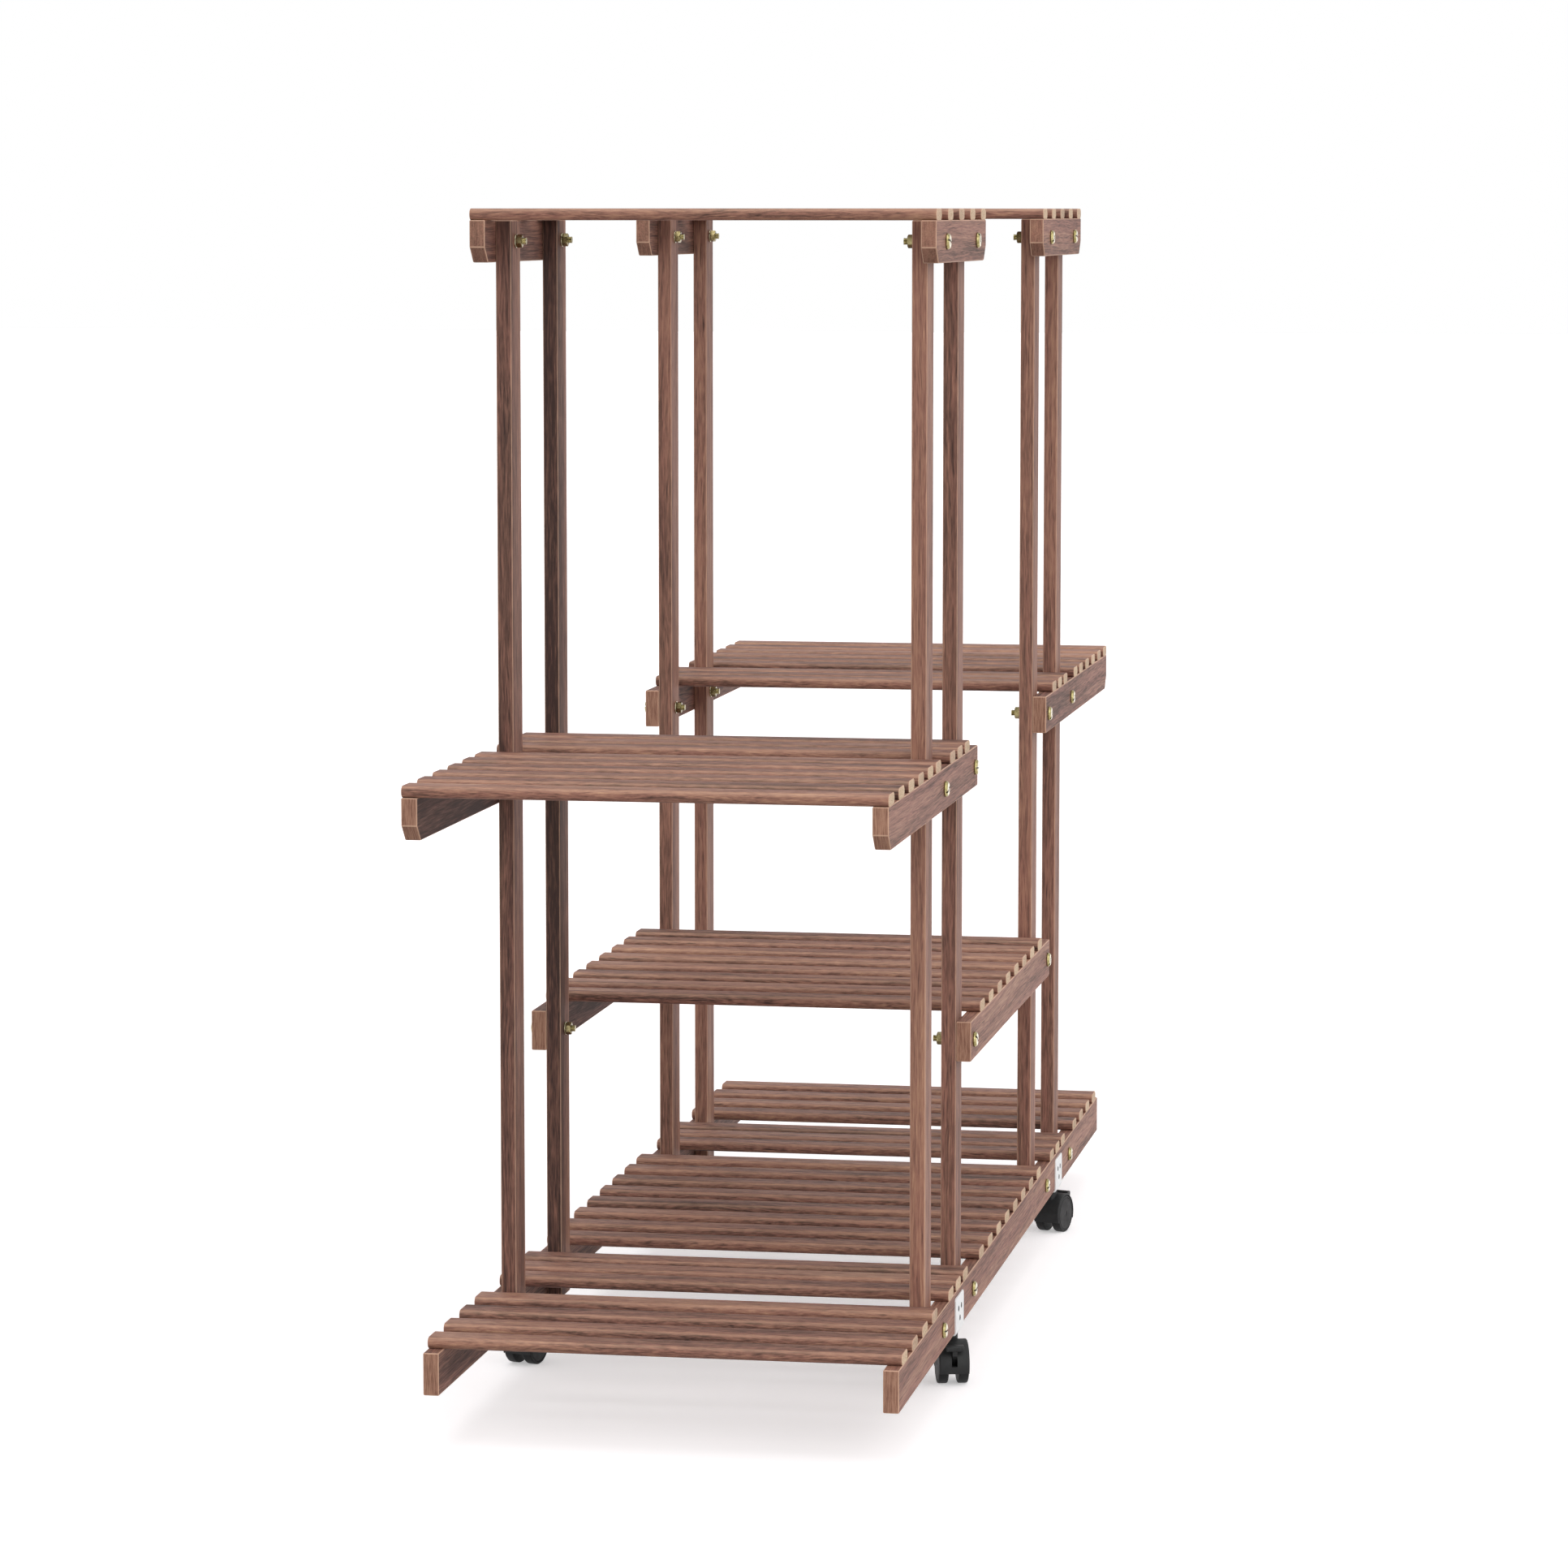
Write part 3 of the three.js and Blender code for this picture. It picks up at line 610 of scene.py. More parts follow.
def caster_holes(side_name):
    """Borers for the rivets and screws of the casters on one side."""
    side = SIDES[side_name]
    ends = sorted((side * (SIDE_FACE - SCREW_ROOM[1]), side * (SIDE_FACE + OVERRUN)))
    made = []
    for place in [p for p in CASTER_PLACES if p.endswith(side_name)]:
        y = middle_of("bracket_" + place).y
        made.append(rod(RIVET_ROOM[0], deck_low.z - OVERRUN, deck_low.z + RIVET_ROOM[1],
                        (side * RAIL_CENTRE, y, 0), turn=UPRIGHT))
        made += [rod(SCREW_ROOM[0], *ends, (0, y + along, deck_low.z + above), 16)
                 for along, above in SCREW_SPOTS]
    return made


# the left rails' darker tones, most of all the near shelf's, are partly painted shade: the faces
# of them that show lie in shade under the slats
SHELF_TONES_AND_SHADE = {  # left rail, right rail and slats, as the photograph shows them
    "bottom_deck": (-0.12, 0.0, -0.05), "centre_shelf": (-0.27, -0.07, -0.02),
    "near_shelf": (-0.42, 0.0, -0.07), "far_shelf": (-0.12, -0.17, -0.05),
    "near_top_shelf": (-0.17, -0.08, 0.04), "far_top_shelf": (-0.13, -0.08, -0.08),
}
RAIL_SPREAD, SLAT_SPREAD = 0.05, 0.07  # how much tones differ by chance
TOP_END_PALE = 0.5  # the top rails' ends hardly differ from their sides
for shelf, tones in SHELF_TONES_AND_SHADE.items():
    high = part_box(shelf)[1]
    for (side_name, side), shelf_tone in zip(SIDES.items(), tones):
        ends = sorted((side * high.x, side * (high.x - BOARD_THICKNESS)))
        rail, worn = eased_board(rail_outline(shelf), *ends, 0)
        holes = [bolt_hole(n) for n in bolts_of(shelf, side_name)]
        if shelf == "bottom_deck":
            holes += caster_holes(side_name)
        tone = shelf_tone + chance.uniform(-RAIL_SPREAD, RAIL_SPREAD)
        board(f"{shelf}_rail_{side_name}", rail, (1, 2, 0), tone, RAIL_WOOD, worn, holes, [shelf],
              TOP_END_PALE if "top" in shelf else 1.0)
print("rails:", len(SHELF_TONES_AND_SHADE) * len(SIDES))

# %% Slats
SLAT_END = 0.0007  # how far a slat's ends are eased
ROUNDING_STEPS = 5
# the slats' long edges carry partly wear and partly a painted highlight, where light catches the
# top of the rounding
EDGE_WEAR_AND_SHEEN = 0.45  # of the slats' long edges, their ends being 1
SLAT_END_PALE = 0.55  # the least; the share is drawn for each slat


def slat_outline(low, high, top):
    """A slat's section: flat above and below, with round edges."""
    r = SLAT_ROUNDING
    lower, upper = top - SLAT_THICKNESS + r, top - r
    centres = [(high - r, lower), (high - r, upper), (low + r, upper), (low + r, lower)]
    return [point for turn, centre in enumerate(centres)
            for point in arc(centre, r, 90 * turn - 90, 90 * turn, ROUNDING_STEPS)]


def edge_wear_and_sheen(z, top):
    """Wear and a painted highlight on a slat's round edge: most just below the flat of its upper
    face.
    """
    height = min(max((z - (top - SLAT_ROUNDING)) / SLAT_ROUNDING, 0.0), 1.0)
    return EDGE_WEAR_AND_SHEEN * math.sin(math.pi * height ** 3)


for shelf, (_, _, shelf_tone) in SHELF_TONES_AND_SHADE.items():
    low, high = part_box(shelf)
    for number, (near, far) in enumerate(slats_of(shelf)[1], 1):
        slat = prism(slat_outline(near, far, high.z), low.x, high.x, 0)
        rims = [e for e in slat.edges if abs(e.verts[0].co.x - e.verts[1].co.x) < TOUCH]
        ends = ease(slat, rims, SLAT_END)
        worn = {v: edge_wear_and_sheen(v.co.z, high.z) for v in slat.verts}
        worn.update(dict.fromkeys(ends, 1.0))
        tone = shelf_tone + chance.uniform(-SLAT_SPREAD, SLAT_SPREAD)
        board(f"{shelf}_slat_{number}", slat, (0, 1, 2), tone, SLAT_WOOD, worn, (), [shelf],
              chance.uniform(SLAT_END_PALE, 1.0))
print("slats:", sum(len(slats_of(shelf)[1]) for shelf in SHELF_TONES_AND_SHADE))

# %% [markdown]
# ## Surface mottle
# Plating, paint and moulded plastic are all slightly uneven. One group gives a soft patchy
# mask and a fine relief, and each finish uses it at its own scale.

# %% The mottle group
mottle, given, taken = new_group(
    "surface_mottle",
    [("Patches", "Float"), ("Fineness", "Float")],
    [("Mask", "Float"), ("Relief", "Float")],
)
spot = add(mottle, "TexCoord").outputs["Object"]
patches = noise(mottle, spot, 3.0, 0.55, given["Patches"])
grains = noise(mottle, spot, 2.0, 0.5, given["Fineness"])
mottle.links.new(spread(mottle, patches, 0.3, 0.7), taken["Mask"])
mottle.links.new(grains, taken["Relief"])

# %% The other finishes
FINISHES = {
    # two colours, the roughness of each, patches and fineness per metre, relief, metallic
    # and specular
    "yellow_zinc": ("#7f7548", "#b8ac7c", 0.34, 0.2, 420.0, 2500.0, 0.00004, 1.0, 0.5),
    "nut_zinc": ("#675c3a", "#a89c72", 0.30, 0.18, 300.0, 2500.0, 0.00005, 1.0, 0.5),
    "washer_zinc": ("#9c9474", "#d9d2b8", 0.27, 0.16, 350.0, 2600.0, 0.00003, 1.0, 0.5),
    "white_paint": ("#eaebec", "#f5f5f5", 0.46, 0.36, 70.0, 1400.0, 0.00006, 0.0, 0.5),
    "dark_screw": ("#1d1f1b", "#30322d", 0.55, 0.42, 400.0, 3000.0, 0.00003, 0.0, 0.3),
    "hood_plastic": ("#232324", "#2d2e2e", 0.50, 0.40, 90.0, 2200.0, 0.00005, 0.0, 0.25),
    "wheel_plastic": ("#161617", "#1e1e1f", 0.54, 0.42, 120.0, 2600.0, 0.00005, 0.0, 0.2),
    "axle_steel": ("#8c8c8a", "#b4b3b0", 0.38, 0.26, 300.0, 2500.0, 0.00003, 1.0, 0.5),
}
# the bolts' heads get a painted highlight on their flat tops and painted shade in their slots
MARKS = {"yellow_zinc": {"painted_highlight": "#f3ecd8", "painted_slot_shade": "#6b6236"}}  # where faces are marked
RELIEF_STRENGTH = 0.3
finish = {}
for name, numbers in FINISHES.items():
    low_colour, high_colour, *roughness, patches, fineness, relief, metallic, specular = numbers
    finish[name], tree, shader = new_material(name, metallic=metallic, specular=specular)
    inputs = {"Patches": patches, "Fineness": fineness}
    surface = add(tree, "Group", inputs, node_tree=mottle).outputs
    base = mixed(tree, surface["Mask"], colour(low_colour), colour(high_colour))
    for mark, code in MARKS.get(name, {}).items():
        marked = add(tree, "Attribute", attribute_name=mark).outputs["Fac"]
        base = mixed(tree, marked, base, colour(code))
    tree.links.new(base, shader.inputs["Base Color"])
    tree.links.new(spread(tree, surface["Mask"], 0, 1, *roughness), shader.inputs["Roughness"])
    set_bump(tree, shader, surface["Relief"], relief, RELIEF_STRENGTH)
print("finishes:", len(bpy.data.materials))

# %% [markdown]
# ## Bolts, washers and nuts
# A low flat-topped head goes in from outside. It has a slot from side to side and a shorter
# one across it, so that either driver fits. On the post's inner face a washer and a hexagon
# nut hold the bolt, and the thread stands a little out of the nut. The flat top is painted pale
# as a painted highlight, and the slots are painted dark as painted shade, so both are marked
# for the finish. Bolts, washers and nuts are turned by seeded angles.

# %% Sizes of the fixings
HEAD_RADIUS, HEAD_RIM, HEAD_TOP = 0.0068, 0.0009, 0.0042  # HEAD_TOP is its flat's radius
SHANK_RADIUS = 0.003
WASHER_RADIUS, WASHER_HOLE, WASHER_THICKNESS = 0.006, 0.0032, 0.0012
NUT_HALF, NUT_THICKNESS = 0.005, 0.005  # NUT_HALF is from axis to flat
THREAD_PITCH, THREAD_DEPTH, THREAD_LENGTH = 0.001, 0.0005, 0.011
SLOT_HALF, SLOT_DEPTH = 0.0008, 0.0015
CROSS_REACH = 0.0032
THREAD_STEPS = 6  # rings to a pitch
THREAD_BLUNT = 0.15  # share of the thread's depth that its crests lack
TIP_SHARE = 0.8  # radius of the bolt's end, as a share
BOLT_SIDES = 40
EDGE_BREAK = 0.0003  # on heads, plates and pins

bolt_low, bolt_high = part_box(bolts_of(side="right")[0])
HEAD_HEIGHT = bolt_high.x - SIDE_FACE
BOLT_LENGTH = SIDE_FACE - bolt_low.x
NUT_PLACE = -2 * BOARD_THICKNESS - WASHER_THICKNESS
print("bolt: head %.1f mm, under it %.1f mm" % (HEAD_HEIGHT * 1000, BOLT_LENGTH * 1000))

# %% The bolt
def head_profile():
    """The bolt's head from its underside to the flat on top."""
    sweep = [math.radians(90 * i / 7) for i in range(8)]
    side = [(HEAD_TOP + (HEAD_RADIUS - HEAD_TOP) * math.cos(t),
             HEAD_RIM + (HEAD_HEIGHT - HEAD_RIM) * math.sin(t)) for t in sweep]
    return [(SHANK_RADIUS, 0.0), (HEAD_RADIUS - EDGE_BREAK, 0.0), (HEAD_RADIUS, EDGE_BREAK), *side]


def thread_radius(x, i, fade):
    """How far the thread stands out: its groove winds round the shank."""
    turn = (x / THREAD_PITCH - i / BOLT_SIDES) % 1.0
    groove = 1 - abs(2 * turn - 1)
    return SHANK_RADIUS - THREAD_DEPTH * (THREAD_BLUNT + (1 - THREAD_BLUNT) * groove * fade)


def threaded_bolt():
    """Head, shank and thread in one closed solid, its head's underside at X = 0."""
    bm = bmesh.new()
    rings = []
    rows = round(THREAD_LENGTH / THREAD_PITCH * THREAD_STEPS)
    for row in range(rows + 1):
        x = -BOLT_LENGTH + THREAD_LENGTH * row / rows
        fade = min(1.0, row / THREAD_STEPS, (rows - row) / THREAD_STEPS)
        rings.append([bm.verts.new(around_x(x, thread_radius(x, i, fade), i, BOLT_SIDES))
                      for i in range(BOLT_SIDES)])
    tip = [bm.verts.new((-BOLT_LENGTH, v.co.y * TIP_SHARE, v.co.z * TIP_SHARE))
           for v in rings[0]]
    bm.faces.new(tip)
    rings.insert(0, tip)
    for radius, x in head_profile():
        rings.append([bm.verts.new(around_x(x, radius, i, BOLT_SIDES)) for i in range(BOLT_SIDES)])
    return skin(bm, rings, [rings[-1]])


def driver_slots():
    """A cutter for the slot from side to side and the short one across it."""
    floor, over = HEAD_HEIGHT - SLOT_DEPTH, HEAD_HEIGHT + OVERRUN
    reach = HEAD_RADIUS + OVERRUN
    long_slot = prism(rectangle(floor, -reach, over, reach), -SLOT_HALF, SLOT_HALF, 2)
    taper = CROSS_REACH * 0.5
    short_slot = prism([(floor, -taper), (over, -CROSS_REACH), (over, CROSS_REACH),
                        (floor, taper)], -SLOT_HALF * 0.8, SLOT_HALF * 0.8, 1)
    return carve(long_slot, short_slot, operation="UNION")


def mark_head(bm):
    """Marks the flat on top for a painted highlight, and the walls and floors of the slots for
    painted shade.
    """
    painted_highlight = bm.faces.layers.float.new("painted_highlight")
    painted_slot_shade = bm.faces.layers.float.new("painted_slot_shade")
    for face in bm.faces:
        middle = face.calc_center_median()
        radius = math.hypot(middle.y, middle.z)
        upright = abs(face.normal.x) < 0.05 and HEAD_HEIGHT > middle.x > HEAD_HEIGHT - SLOT_DEPTH
        sunk = abs(middle.x - (HEAD_HEIGHT - SLOT_DEPTH)) < TOUCH and face.normal.x > 0.9
        face[painted_slot_shade] = 1.0 if sunk or (upright and radius < HEAD_RADIUS * 0.9) else 0.0
        rise = (face.normal.x - 0.75) / 0.25
        face[painted_highlight] = 0.0 if face[painted_slot_shade] or middle.x < HEAD_RIM else min(max(rise, 0.0), 1.0)


bolt_blank = carve(threaded_bolt(), driver_slots())
mark_head(bolt_blank)
print("bolt faces:", len(bolt_blank.faces))

# %% The washer and the nut
WASHER_EDGE = 0.0002
NUT_SIDES = 72
NUT_FLAT = 0.97  # radius of the nut's faces, as a share of its half width
NUT_ROOM = 0.0001  # between nut and shank
FACING_SLOPE = math.tan(math.radians(30))


def washer_solid():
    """A flat ring with softly broken edges, against the post's inner face."""
    edge, outer, inner = WASHER_EDGE, WASHER_RADIUS, WASHER_HOLE
    near, far = -2 * BOARD_THICKNESS, NUT_PLACE
    profile = [(inner, near), (outer - edge, near), (outer, near - edge), (outer, far + edge),
               (outer - edge, far), (inner, far), (inner, near)]
    bm = lathe(profile, 40)
    bmesh.ops.remove_doubles(bm, verts=bm.verts, dist=1e-7)
    return bm


def nut_solid():
    """A hexagon whose corners a cone has taken off at both faces."""
    bm = bmesh.new()
    near, far = NUT_PLACE, NUT_PLACE - NUT_THICKNESS
    bore = SHANK_RADIUS + NUT_ROOM
    rings = [[] for _ in range(6)]
    for i in range(NUT_SIDES):
        off_flat = (math.degrees(2 * math.pi * i / NUT_SIDES) + 30) % 60 - 30
        hexagon = NUT_HALF / math.cos(math.radians(off_flat))
        face = min(hexagon, NUT_HALF * NUT_FLAT)
        drop = (hexagon - face) * FACING_SLOPE
        rows = [(bore, near), (face, near), (hexagon, near - drop), (hexagon, far + drop),
                (face, far), (bore, far)]
        for ring, (radius, x) in zip(rings, rows):
            ring.append(bm.verts.new(around_x(x, radius, i, NUT_SIDES)))
    return skin(bm, rings + rings[:1])


washer_blank = washer_solid()
nut_blank = nut_solid()

# %% Fit the fixings
TURN_SPREAD = 0.5  # how far from level the bolts' slots are left, in radians


def facing(side):
    """Turns what is made for the right-hand side to its own side."""
    return Matrix.Identity(4) if side > 0 else Matrix.Rotation(math.pi, 4, "Z")


def placed(blank, matrix, turn=0.0):
    """A copy of a solid in its place, first turned about its own axis."""
    copy = blank.copy()
    copy.transform(matrix @ Matrix.Rotation(turn, 4, "X"))
    return copy


BLANKS = [("bolt_%s_screw", bolt_blank, "yellow_zinc"), ("washer_%s", washer_blank, "washer_zinc"),
          ("nut_%s", nut_blank, "nut_zinc")]
for node in bolt_nodes:
    centre = middle_of(node)
    side = 1 if centre.x > 0 else -1
    seat = Matrix.Translation((side * SIDE_FACE, centre.y, centre.z)) @ facing(side)
    turns = [chance.gauss(0, TURN_SPREAD), *(chance.uniform(0, 2 * math.pi) for _ in range(2))]
    for (name, blank, zinc), turn in zip(BLANKS, turns):
        add_piece(name % node[len("bolt_"):], placed(blank, seat, turn), finish[zinc],
                  "stand", [node])
for _, blank, _ in BLANKS:
    blank.free()
print("fixings:", 3 * len(bolt_nodes))

# %% [markdown]
# ## Caster brackets
# Each caster hangs from a small angle of sheet steel, bent with a round knee and painted
# white. Its upright leg is screwed to the rail's outer face through three holes, and its
# foot, under the rail, carries the rivet. The bent profile is carried along, then the top
# corners are clipped and the holes bored.

# %% Brackets and screws
bracket_low, bracket_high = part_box("bracket_near_right")
upper_corners = [p for p in corners("bracket_near_right") if p.z > bracket_high.z - TOUCH]
SHEET = deck_low.z - bracket_low.z
CLIP = bracket_high.y - max(p.y for p in upper_corners)
KNEE = SHEET + 0.0008  # outer radius of the bend
HOLE_RADIUS = 0.0026
STEM_HOLE = 0.0028
SCREW_RISE = 0.0004  # crown of a screw's head above the sheet
SCREW_SHANK = 0.0015
SCREW_LENGTH = 0.01  # in the rail
SCREW_SLOT = (0.0006, 0.0004)  # depth and half the width
print("bracket: sheet %.1f mm, clipped corners %.1f mm" % (SHEET * 1000, CLIP * 1000))


def bracket_solid():
    """A bracket for a right-hand rail, its middle at Y = 0."""
    low, high = bracket_low, bracket_high
    half = (high.y - low.y) / 2
    bend = (high.x - KNEE, low.z + KNEE)
    profile = [(low.x, low.z), *arc(bend, KNEE, -90, 0, 6), (high.x, high.z),
               (high.x - SHEET, high.z), *arc(bend, KNEE - SHEET, 0, -90, 3),
               (low.x, low.z + SHEET)]
    plate = prism(profile, -half, half, 1)
    over = 2 * OVERRUN
    through = (high.x - THROUGH, high.x + THROUGH)
    clips = [prism([(end * (half - CLIP), high.z), (end * (half + over), high.z + over),
                    (end * half, high.z - CLIP)], *through, 0) for end in (-1, 1)]
    clips += [rod(HOLE_RADIUS, *through, (0, along, deck_low.z + above))
              for along, above in SCREW_SPOTS]
    clips.append(rod(STEM_HOLE, low.z - THROUGH, low.z + THROUGH, (RAIL_CENTRE, 0, 0),
                     turn=UPRIGHT))
    plate = carve(plate, *clips)
    merge_flats(plate, 1)
    ease(plate, sharp_edges(plate), EDGE_BREAK)
    return plate


def screw_solid():
    """A screw whose low crowned head fills the bracket's hole, its crown at X = 0."""
    head, shank = HOLE_RADIUS - 0.0001, SCREW_SHANK
    seat = SHEET + SCREW_RISE
    tip = -seat - SCREW_LENGTH
    profile = [(0, tip), (shank * 0.5, tip + 0.001), (shank, tip + 0.003), (shank, -seat),
               (head, -seat), (head, -SCREW_RISE), (head * 0.85, -SCREW_RISE * 0.4),
               (head * 0.5, 0), (0, 0)]
    depth, half = SCREW_SLOT
    slot = prism(rectangle(-depth, -half, OVERRUN, half), -0.004, 0.004, 2)
    return carve(lathe(profile, 24), slot)


bracket_blank = bracket_solid()
screw_blank = screw_solid()
for place in CASTER_PLACES:
    node = "bracket_" + place
    seat = Matrix.Translation((0, middle_of(node).y, 0)) @ facing(SIDES[place.split("_")[1]])
    add_piece(node + "_plate", placed(bracket_blank, seat), finish["white_paint"],
              "stand", [node])
    for number, (along, above) in enumerate(SCREW_SPOTS, 1):
        crown = Matrix.Translation((SIDE_FACE + SHEET + SCREW_RISE, along, deck_low.z + above))
        screw = placed(screw_blank, seat @ crown, chance.uniform(0, math.pi))
        add_piece(f"{node}_screw_{number}", screw, finish["dark_screw"],
                  "stand", [node])
bracket_blank.free()
screw_blank.free()

# %% [markdown]
# ## Casters
# A furniture caster is a hood over two wheels on one axle, with a neck above that turns
# about a rivet. Everything is modelled once where the caster stands on its own swivel axis,
# rolling along Y with its axle behind, and then placed by the frame's joints: the swivel
# joint gives the place and the wheel's joint the direction.

# %% Where the casters stand
JOINTS = {joint["name"]: joint for joint in frame["joints"]}


def caster_matrix(place):
    """From a caster's own axes to the stand's."""
    swivel = Vector(JOINTS[place + "_swivel"]["pos_m"])
    axle = Vector(JOINTS[place + "_wheel_b_spin"]["pos_m"])
    behind = Vector((axle.x - swivel.x, axle.y - swivel.y, 0)).normalized()
    across = behind.cross(Vector((0, 0, 1)))
    turn = Matrix((across, behind, (0, 0, 1))).transposed().to_4x4()
    return Matrix.Translation((swivel.x, swivel.y, 0)) @ turn


def local_box(node, place):
    """A node's limits in its caster's own axes."""
    inward = caster_matrix(place).inverted()
    return limits([inward @ p for p in corners(node)])


swivel = Vector(JOINTS["near_left_swivel"]["pos_m"])
axle = Vector(JOINTS["near_left_wheel_b_spin"]["pos_m"])
WHEEL_RADIUS = axle.z
TRAIL = (axle.xy - swivel.xy).length
wheel_low, wheel_high = local_box("caster_near_left_wheel_b", "near_left")
hood_high = local_box("caster_near_left_hood", "near_left")[1]
RIM = hood_high.x  # half the hood's width
WEB = wheel_low.x  # inner face of a wheel
FACE = wheel_high.x  # outer face of a wheel
print("wheel %.1f mm, trail %.1f mm" % (WHEEL_RADIUS * 2000, TRAIL * 1000))

# %% [markdown]
# ### The hood
# The hood is one moulding: a barrel with its lower part cut away, a well for each wheel, a
# web between them and the neck on top. On the two casters with a brake it has a slot that
# the lever swings in. It is cut from solids. The barrel's rim and the neck are turned with
# soft edges, because the light line round the rim is what shows first on black plastic.

# %% Hood
GAP = 0.0003  # between pieces that move against each other
SOFT_EDGE = 0.0013  # of hood and wheels
WHEEL_SIDES = 96  # of all that is round about the axle
HOOD_WALL = 0.0014
HOOD_RADIUS = hood_high.y - TRAIL
HOOD_SKIRT = 0.007  # lower edge of the hood below the axle
NECK_RADIUS = 0.00625
NECK_EDGE = 0.0005
NECK_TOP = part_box("bracket_near_left")[0].z - GAP
AXLE_PLACE = (0, TRAIL, WHEEL_RADIUS)
AT_AXLE = Matrix.Translation(AXLE_PLACE)
PIVOT = (0.0095, 0.003)  # of the brake lever, behind and above the axle
PIVOT_PLACE = (0, TRAIL + PIVOT[0], WHEEL_RADIUS + PIVOT[1])
PIVOT_PIN = 0.0015
BOSS_RADIUS = 0.0032
LEVER_HALF = 0.0022
SLOT_LOW, SLOT_HIGH = -0.0005, 0.0143
SLOT_BEND, SLOT_BEHIND = 0.0164, 0.026


def behind_axle(points):
    """Points given behind and above the axle, in the caster's Y and Z."""
    return [(TRAIL + u, WHEEL_RADIUS + v) for u, v in points]


def hood_solid(braked):
    """The hood with its web and neck, and the slot if it has a brake."""
    side = arc((HOOD_RADIUS - SOFT_EDGE, RIM - SOFT_EDGE), SOFT_EDGE, 0, 90, 4)
    profile = [(0, -RIM), *((r, -x) for r, x in reversed(side)), *side, (0, RIM)]
    neck = [(0, WHEEL_RADIUS), (NECK_RADIUS, WHEEL_RADIUS), (NECK_RADIUS, NECK_TOP - NECK_EDGE),
            (NECK_RADIUS - NECK_EDGE, NECK_TOP), (0, NECK_TOP)]
    hood = carve(lathe(profile, WHEEL_SIDES, AT_AXLE), lathe(neck, 48, UPRIGHT),
                 operation="UNION")
    inner, outer = WEB - GAP, RIM + 2 * OVERRUN
    cuts = [rod(HOOD_RADIUS - HOOD_WALL, *ends, AXLE_PLACE, WHEEL_SIDES)
            for ends in ((-outer, -inner), (inner, outer))]
    wide = HOOD_RADIUS * 1.2
    cuts.append(prism(behind_axle(rectangle(-wide, -wide, wide, -HOOD_SKIRT)), -wide, wide, 0))
    if braked:
        room = BOSS_RADIUS + GAP
        slot = behind_axle([(PIVOT[0] - room, SLOT_LOW), (SLOT_BEHIND, SLOT_LOW),
                            (SLOT_BEHIND, SLOT_HIGH), (SLOT_BEND, SLOT_HIGH),
                            (PIVOT[0] - room, PIVOT[1] + room)])
        cuts.append(prism(slot, -LEVER_HALF - GAP, LEVER_HALF + GAP, 0))
    hood = carve(hood, *cuts)
    merge_flats(hood)
    return hood


# %% [markdown]
# ### The wheels
# A wheel is a turned profile: a tread with soft corners, a narrow groove, and a flat cap
# that fills the middle of the outer face, with a small dimple.

# %% Wheel
CAP_RADIUS = 0.0158
GROOVE = [(0.0006, 0.0), (0.0003, 0.0005), (0.0, 0.0005), (-0.0004, 0.0001), (-0.0010, 0.0)]
DIMPLE = [(0.0034, 0.0), (0.0028, 0.0003), (0, 0.0003)]
AXLE_RADIUS = 0.002
AXLE_REACH = 0.0058


def wheel_solid():
    """A wheel on the positive side of the web, with a blind bore for the axle."""
    edge, far = SOFT_EDGE, WHEEL_RADIUS - SOFT_EDGE
    bore, bore_end = AXLE_RADIUS + GAP, WEB + AXLE_REACH + GAP
    tread = arc((far, WEB + edge), edge, -90, 0, 4) + arc((far, FACE - edge), edge, 0, 90, 4)
    profile = [(0, bore_end), (bore, bore_end), (bore, WEB), *tread]
    profile += [(CAP_RADIUS + out, FACE - deep) for out, deep in GROOVE]
    profile += [(radius, FACE - deep) for radius, deep in DIMPLE]
    return lathe(profile, WHEEL_SIDES, AT_AXLE)


# %% [markdown]
# ### The brake lever
# A foot tab on a short arm swings about a pin in the hood. Pressed down, it holds the
# wheels. The tab is a small pillow, and the arm is a flat plate. Both outlines are given
# behind and above the axle.

# %% Brake lever
TAB_HALF = 0.00775
TAB = [(0.0174, 0.0144), (0.0186, 0.0140), (0.0236, 0.0140), (0.0249, 0.0154), (0.0249, 0.0178),
       (0.0235, 0.0192), (0.0186, 0.0192), (0.0178, 0.0184)]
ARM = [(0.0079, 0.0056), (0.0113, 0.0006), (0.022, 0.0096), (0.0224, 0.015), (0.019, 0.015)]


def lever_solid():
    """Boss, arm and tab, with a bore for the pin."""
    lever = carve(rod(BOSS_RADIUS, -LEVER_HALF, LEVER_HALF, PIVOT_PLACE, 40),
                  prism(behind_axle(ARM), -LEVER_HALF, LEVER_HALF, 0),
                  prism(behind_axle(TAB), -TAB_HALF, TAB_HALF, 0), operation="UNION")
    lever = carve(lever, rod(PIVOT_PIN + GAP, -THROUGH, THROUGH, PIVOT_PLACE, 24))
    merge_flats(lever)
    ease(lever, sharp_edges(lever, 40), 0.0005, 3)
    return lever


# %% Place the casters
RIVET_RADIUS, RIVET_HEIGHT, STEM_RADIUS = 0.0045, 0.0016, 0.0025
FOOT = deck_low.z + GAP  # underside of the rivet's head
STEM_LOW, STEM_HIGH = NECK_TOP - 0.001, FOOT + 0.0005


def upright(radius, low, high):
    """A small turned pin standing on a caster's swivel axis."""
    edge = EDGE_BREAK
    profile = [(0, low), (radius - edge, low), (radius, low + edge), (radius, high - edge),
               (radius - edge, high), (0, high)]
    return lathe(profile, 32, UPRIGHT)


def add_part(place, name, bm, look, node="hood", body=None):
    """Adds a piece of a caster, shaped in the caster's own axes."""
    bm.transform(caster_matrix(place))
    add_piece(f"caster_{place}_{name}", bm, finish[look], body or "caster_" + place,
              [f"caster_{place}_{node}"])


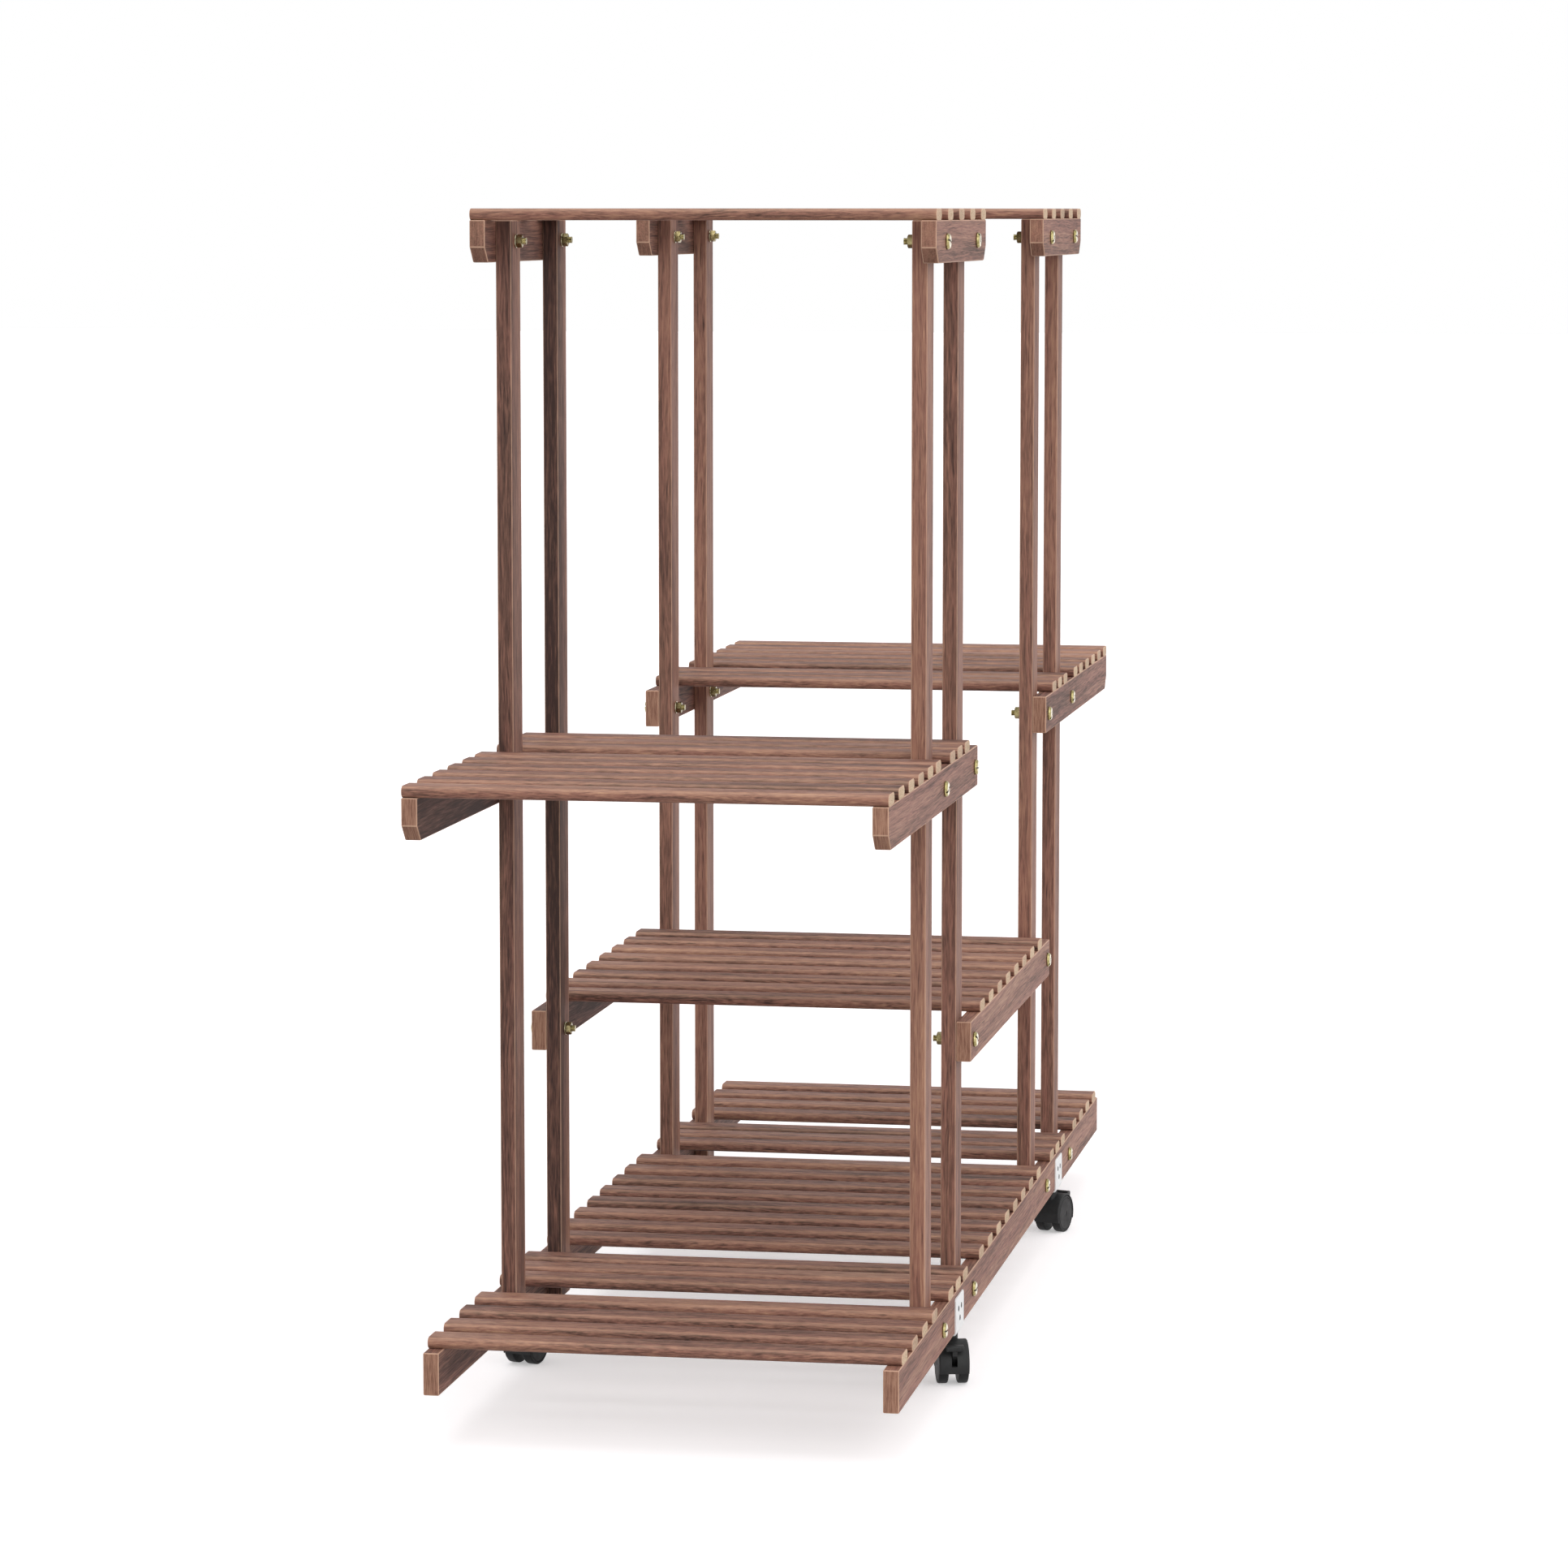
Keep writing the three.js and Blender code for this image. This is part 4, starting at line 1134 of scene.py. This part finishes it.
for place in CASTER_PLACES:
    braked = f"caster_{place}_brake_lever" in frame["nodes"]
    reach = WEB + AXLE_REACH
    stem = upright(STEM_RADIUS, STEM_LOW, STEM_HIGH)
    head = upright(RIVET_RADIUS, FOOT, FOOT + RIVET_HEIGHT)
    add_part(place, "cover", hood_solid(braked), "hood_plastic")
    add_part(place, "rivet", together(stem, head), "axle_steel")
    add_part(place, "axle", rod(AXLE_RADIUS, -reach, reach, AXLE_PLACE), "axle_steel")
    for name in "ab":
        wheel = wheel_solid()
        if name == "a":
            wheel.transform(Matrix.Diagonal((-1, 1, 1, 1)))
            bmesh.ops.reverse_faces(wheel, faces=wheel.faces)
        add_part(place, f"wheel_{name}_tyre", wheel, "wheel_plastic", "wheel_" + name,
                 f"wheel_{place}_{name}")
    if braked:
        pin = rod(PIVOT_PIN, -WEB + GAP, WEB - GAP, PIVOT_PLACE, 24)
        add_part(place, "lever", lever_solid(), "hood_plastic", "brake_lever", "lever_" + place)
        add_part(place, "lever_pin", pin, "axle_steel")

# %% [markdown]
# ## The studio
# The stand is photographed in a white studio: a pale floor that runs up to a white
# background, light from all round, and two soft lamps, overhead and at the near right. The
# floor throws back less light at the stand than it shows to the camera and in reflections,
# and there it glows a little, so that it is white while its shadows keep their depth.

# %% Floor
FLOOR_HALF, FLOOR_DEPTH = 40.0, 0.02
floor_outline = rectangle(-FLOOR_HALF, -FLOOR_HALF, FLOOR_HALF, FLOOR_HALF)
floor_mesh = as_mesh("studio_floor", prism(floor_outline, -FLOOR_DEPTH, 0.0, 2))
floor = in_scene("studio_floor", floor_mesh)


def seen_directly(tree):
    """1 for what the camera, a reflection or a view through glass sees, and else 0."""
    path = add(tree, "LightPath").outputs
    rays = maths(tree, "ADD", path["Is Camera Ray"], path["Is Glossy Ray"])
    return maths(tree, "MINIMUM", maths(tree, "ADD", rays, path["Is Transmission Ray"]), 1.0)


FLOOR_GLOW = 0.38
FLOOR_BOUNCE = (0.45, 0.45, 0.45, 1.0)  # what the floor throws back at the stand
FLOOR_SEEN = (0.92, 0.885, 0.895, 1.0)  # what the camera sees, so that shadows keep depth
FLOOR_PAINT, tree, shader = new_material("floor_paint", roughness=0.9, specular=0.0)
seen = seen_directly(tree)
tree.links.new(mixed(tree, seen, FLOOR_BOUNCE, FLOOR_SEEN), shader.inputs["Base Color"])
shader.inputs["Emission Color"].default_value = (1.0, 1.0, 1.0, 1.0)
tree.links.new(maths(tree, "MULTIPLY", seen, FLOOR_GLOW), shader.inputs["Emission Strength"])
floor_mesh.materials.append(FLOOR_PAINT)

# %% Light from all round
SKY_TOP = 0.35  # overhead
SKY_RISE = 0.9  # how much brighter the walls are at the horizon
world = bpy.data.worlds.new("studio")
bpy.context.scene.world = world
world.use_nodes = True
tree = world.node_tree
upward = add(tree, "SeparateXYZ", {0: add(tree, "TexCoord").outputs["Generated"]}).outputs["Z"]
wall = spread(tree, upward, 0.0, 1.0, SKY_TOP + SKY_RISE, SKY_TOP)
seen = seen_directly(tree)
unseen = maths(tree, "SUBTRACT", 1.0, seen)
level = maths(tree, "ADD", seen, maths(tree, "MULTIPLY", unseen, wall))
background = tree.nodes["Background"]
background.inputs["Color"].default_value = (1.0, 1.0, 1.0, 1.0)
tree.links.new(level, background.inputs["Strength"])


# %% Lamps
def softbox(name, towards, level, spread_degrees):
    """A broad lamp far off in one direction."""
    light = bpy.data.lights.new(name, "SUN")
    light.energy = level
    light.angle = math.radians(spread_degrees)
    in_scene(name, light).rotation_euler = Vector(towards).to_track_quat("Z", "Y").to_euler()


softbox("overhead_softbox", (-0.14, -0.07, 1.0), 0.6, 40)
softbox("side_softbox", (0.62, -0.62, 0.48), 1.25, 80)

# %% [markdown]
# ## The camera
# The camera stands far off in front of the near end and a little to the right, a metre
# above the floor, with a long lens. Its place came from lining up the stand's corners with
# the photograph.

# %% Camera
CAMERA_PLACE = (0.858, -4.9662, 1.0257)
CAMERA_YAW = 10.002  # degrees, turned left of the rails' direction
CAMERA_PITCH = 6.089  # degrees, tipped down
CAMERA_LENS = 123.55  # millimetres, on a sensor 36 mm wide
camera = bpy.data.cameras.new("camera")
camera.lens = CAMERA_LENS
camera.sensor_width = 36.0
camera.clip_end = 200.0
camera_object = in_scene("camera", camera)
camera_object.location = CAMERA_PLACE
camera_object.rotation_euler = (math.radians(90 - CAMERA_PITCH), 0, math.radians(CAMERA_YAW))
bpy.context.scene.camera = camera_object
bpy.context.scene.view_settings.view_transform = "Standard"
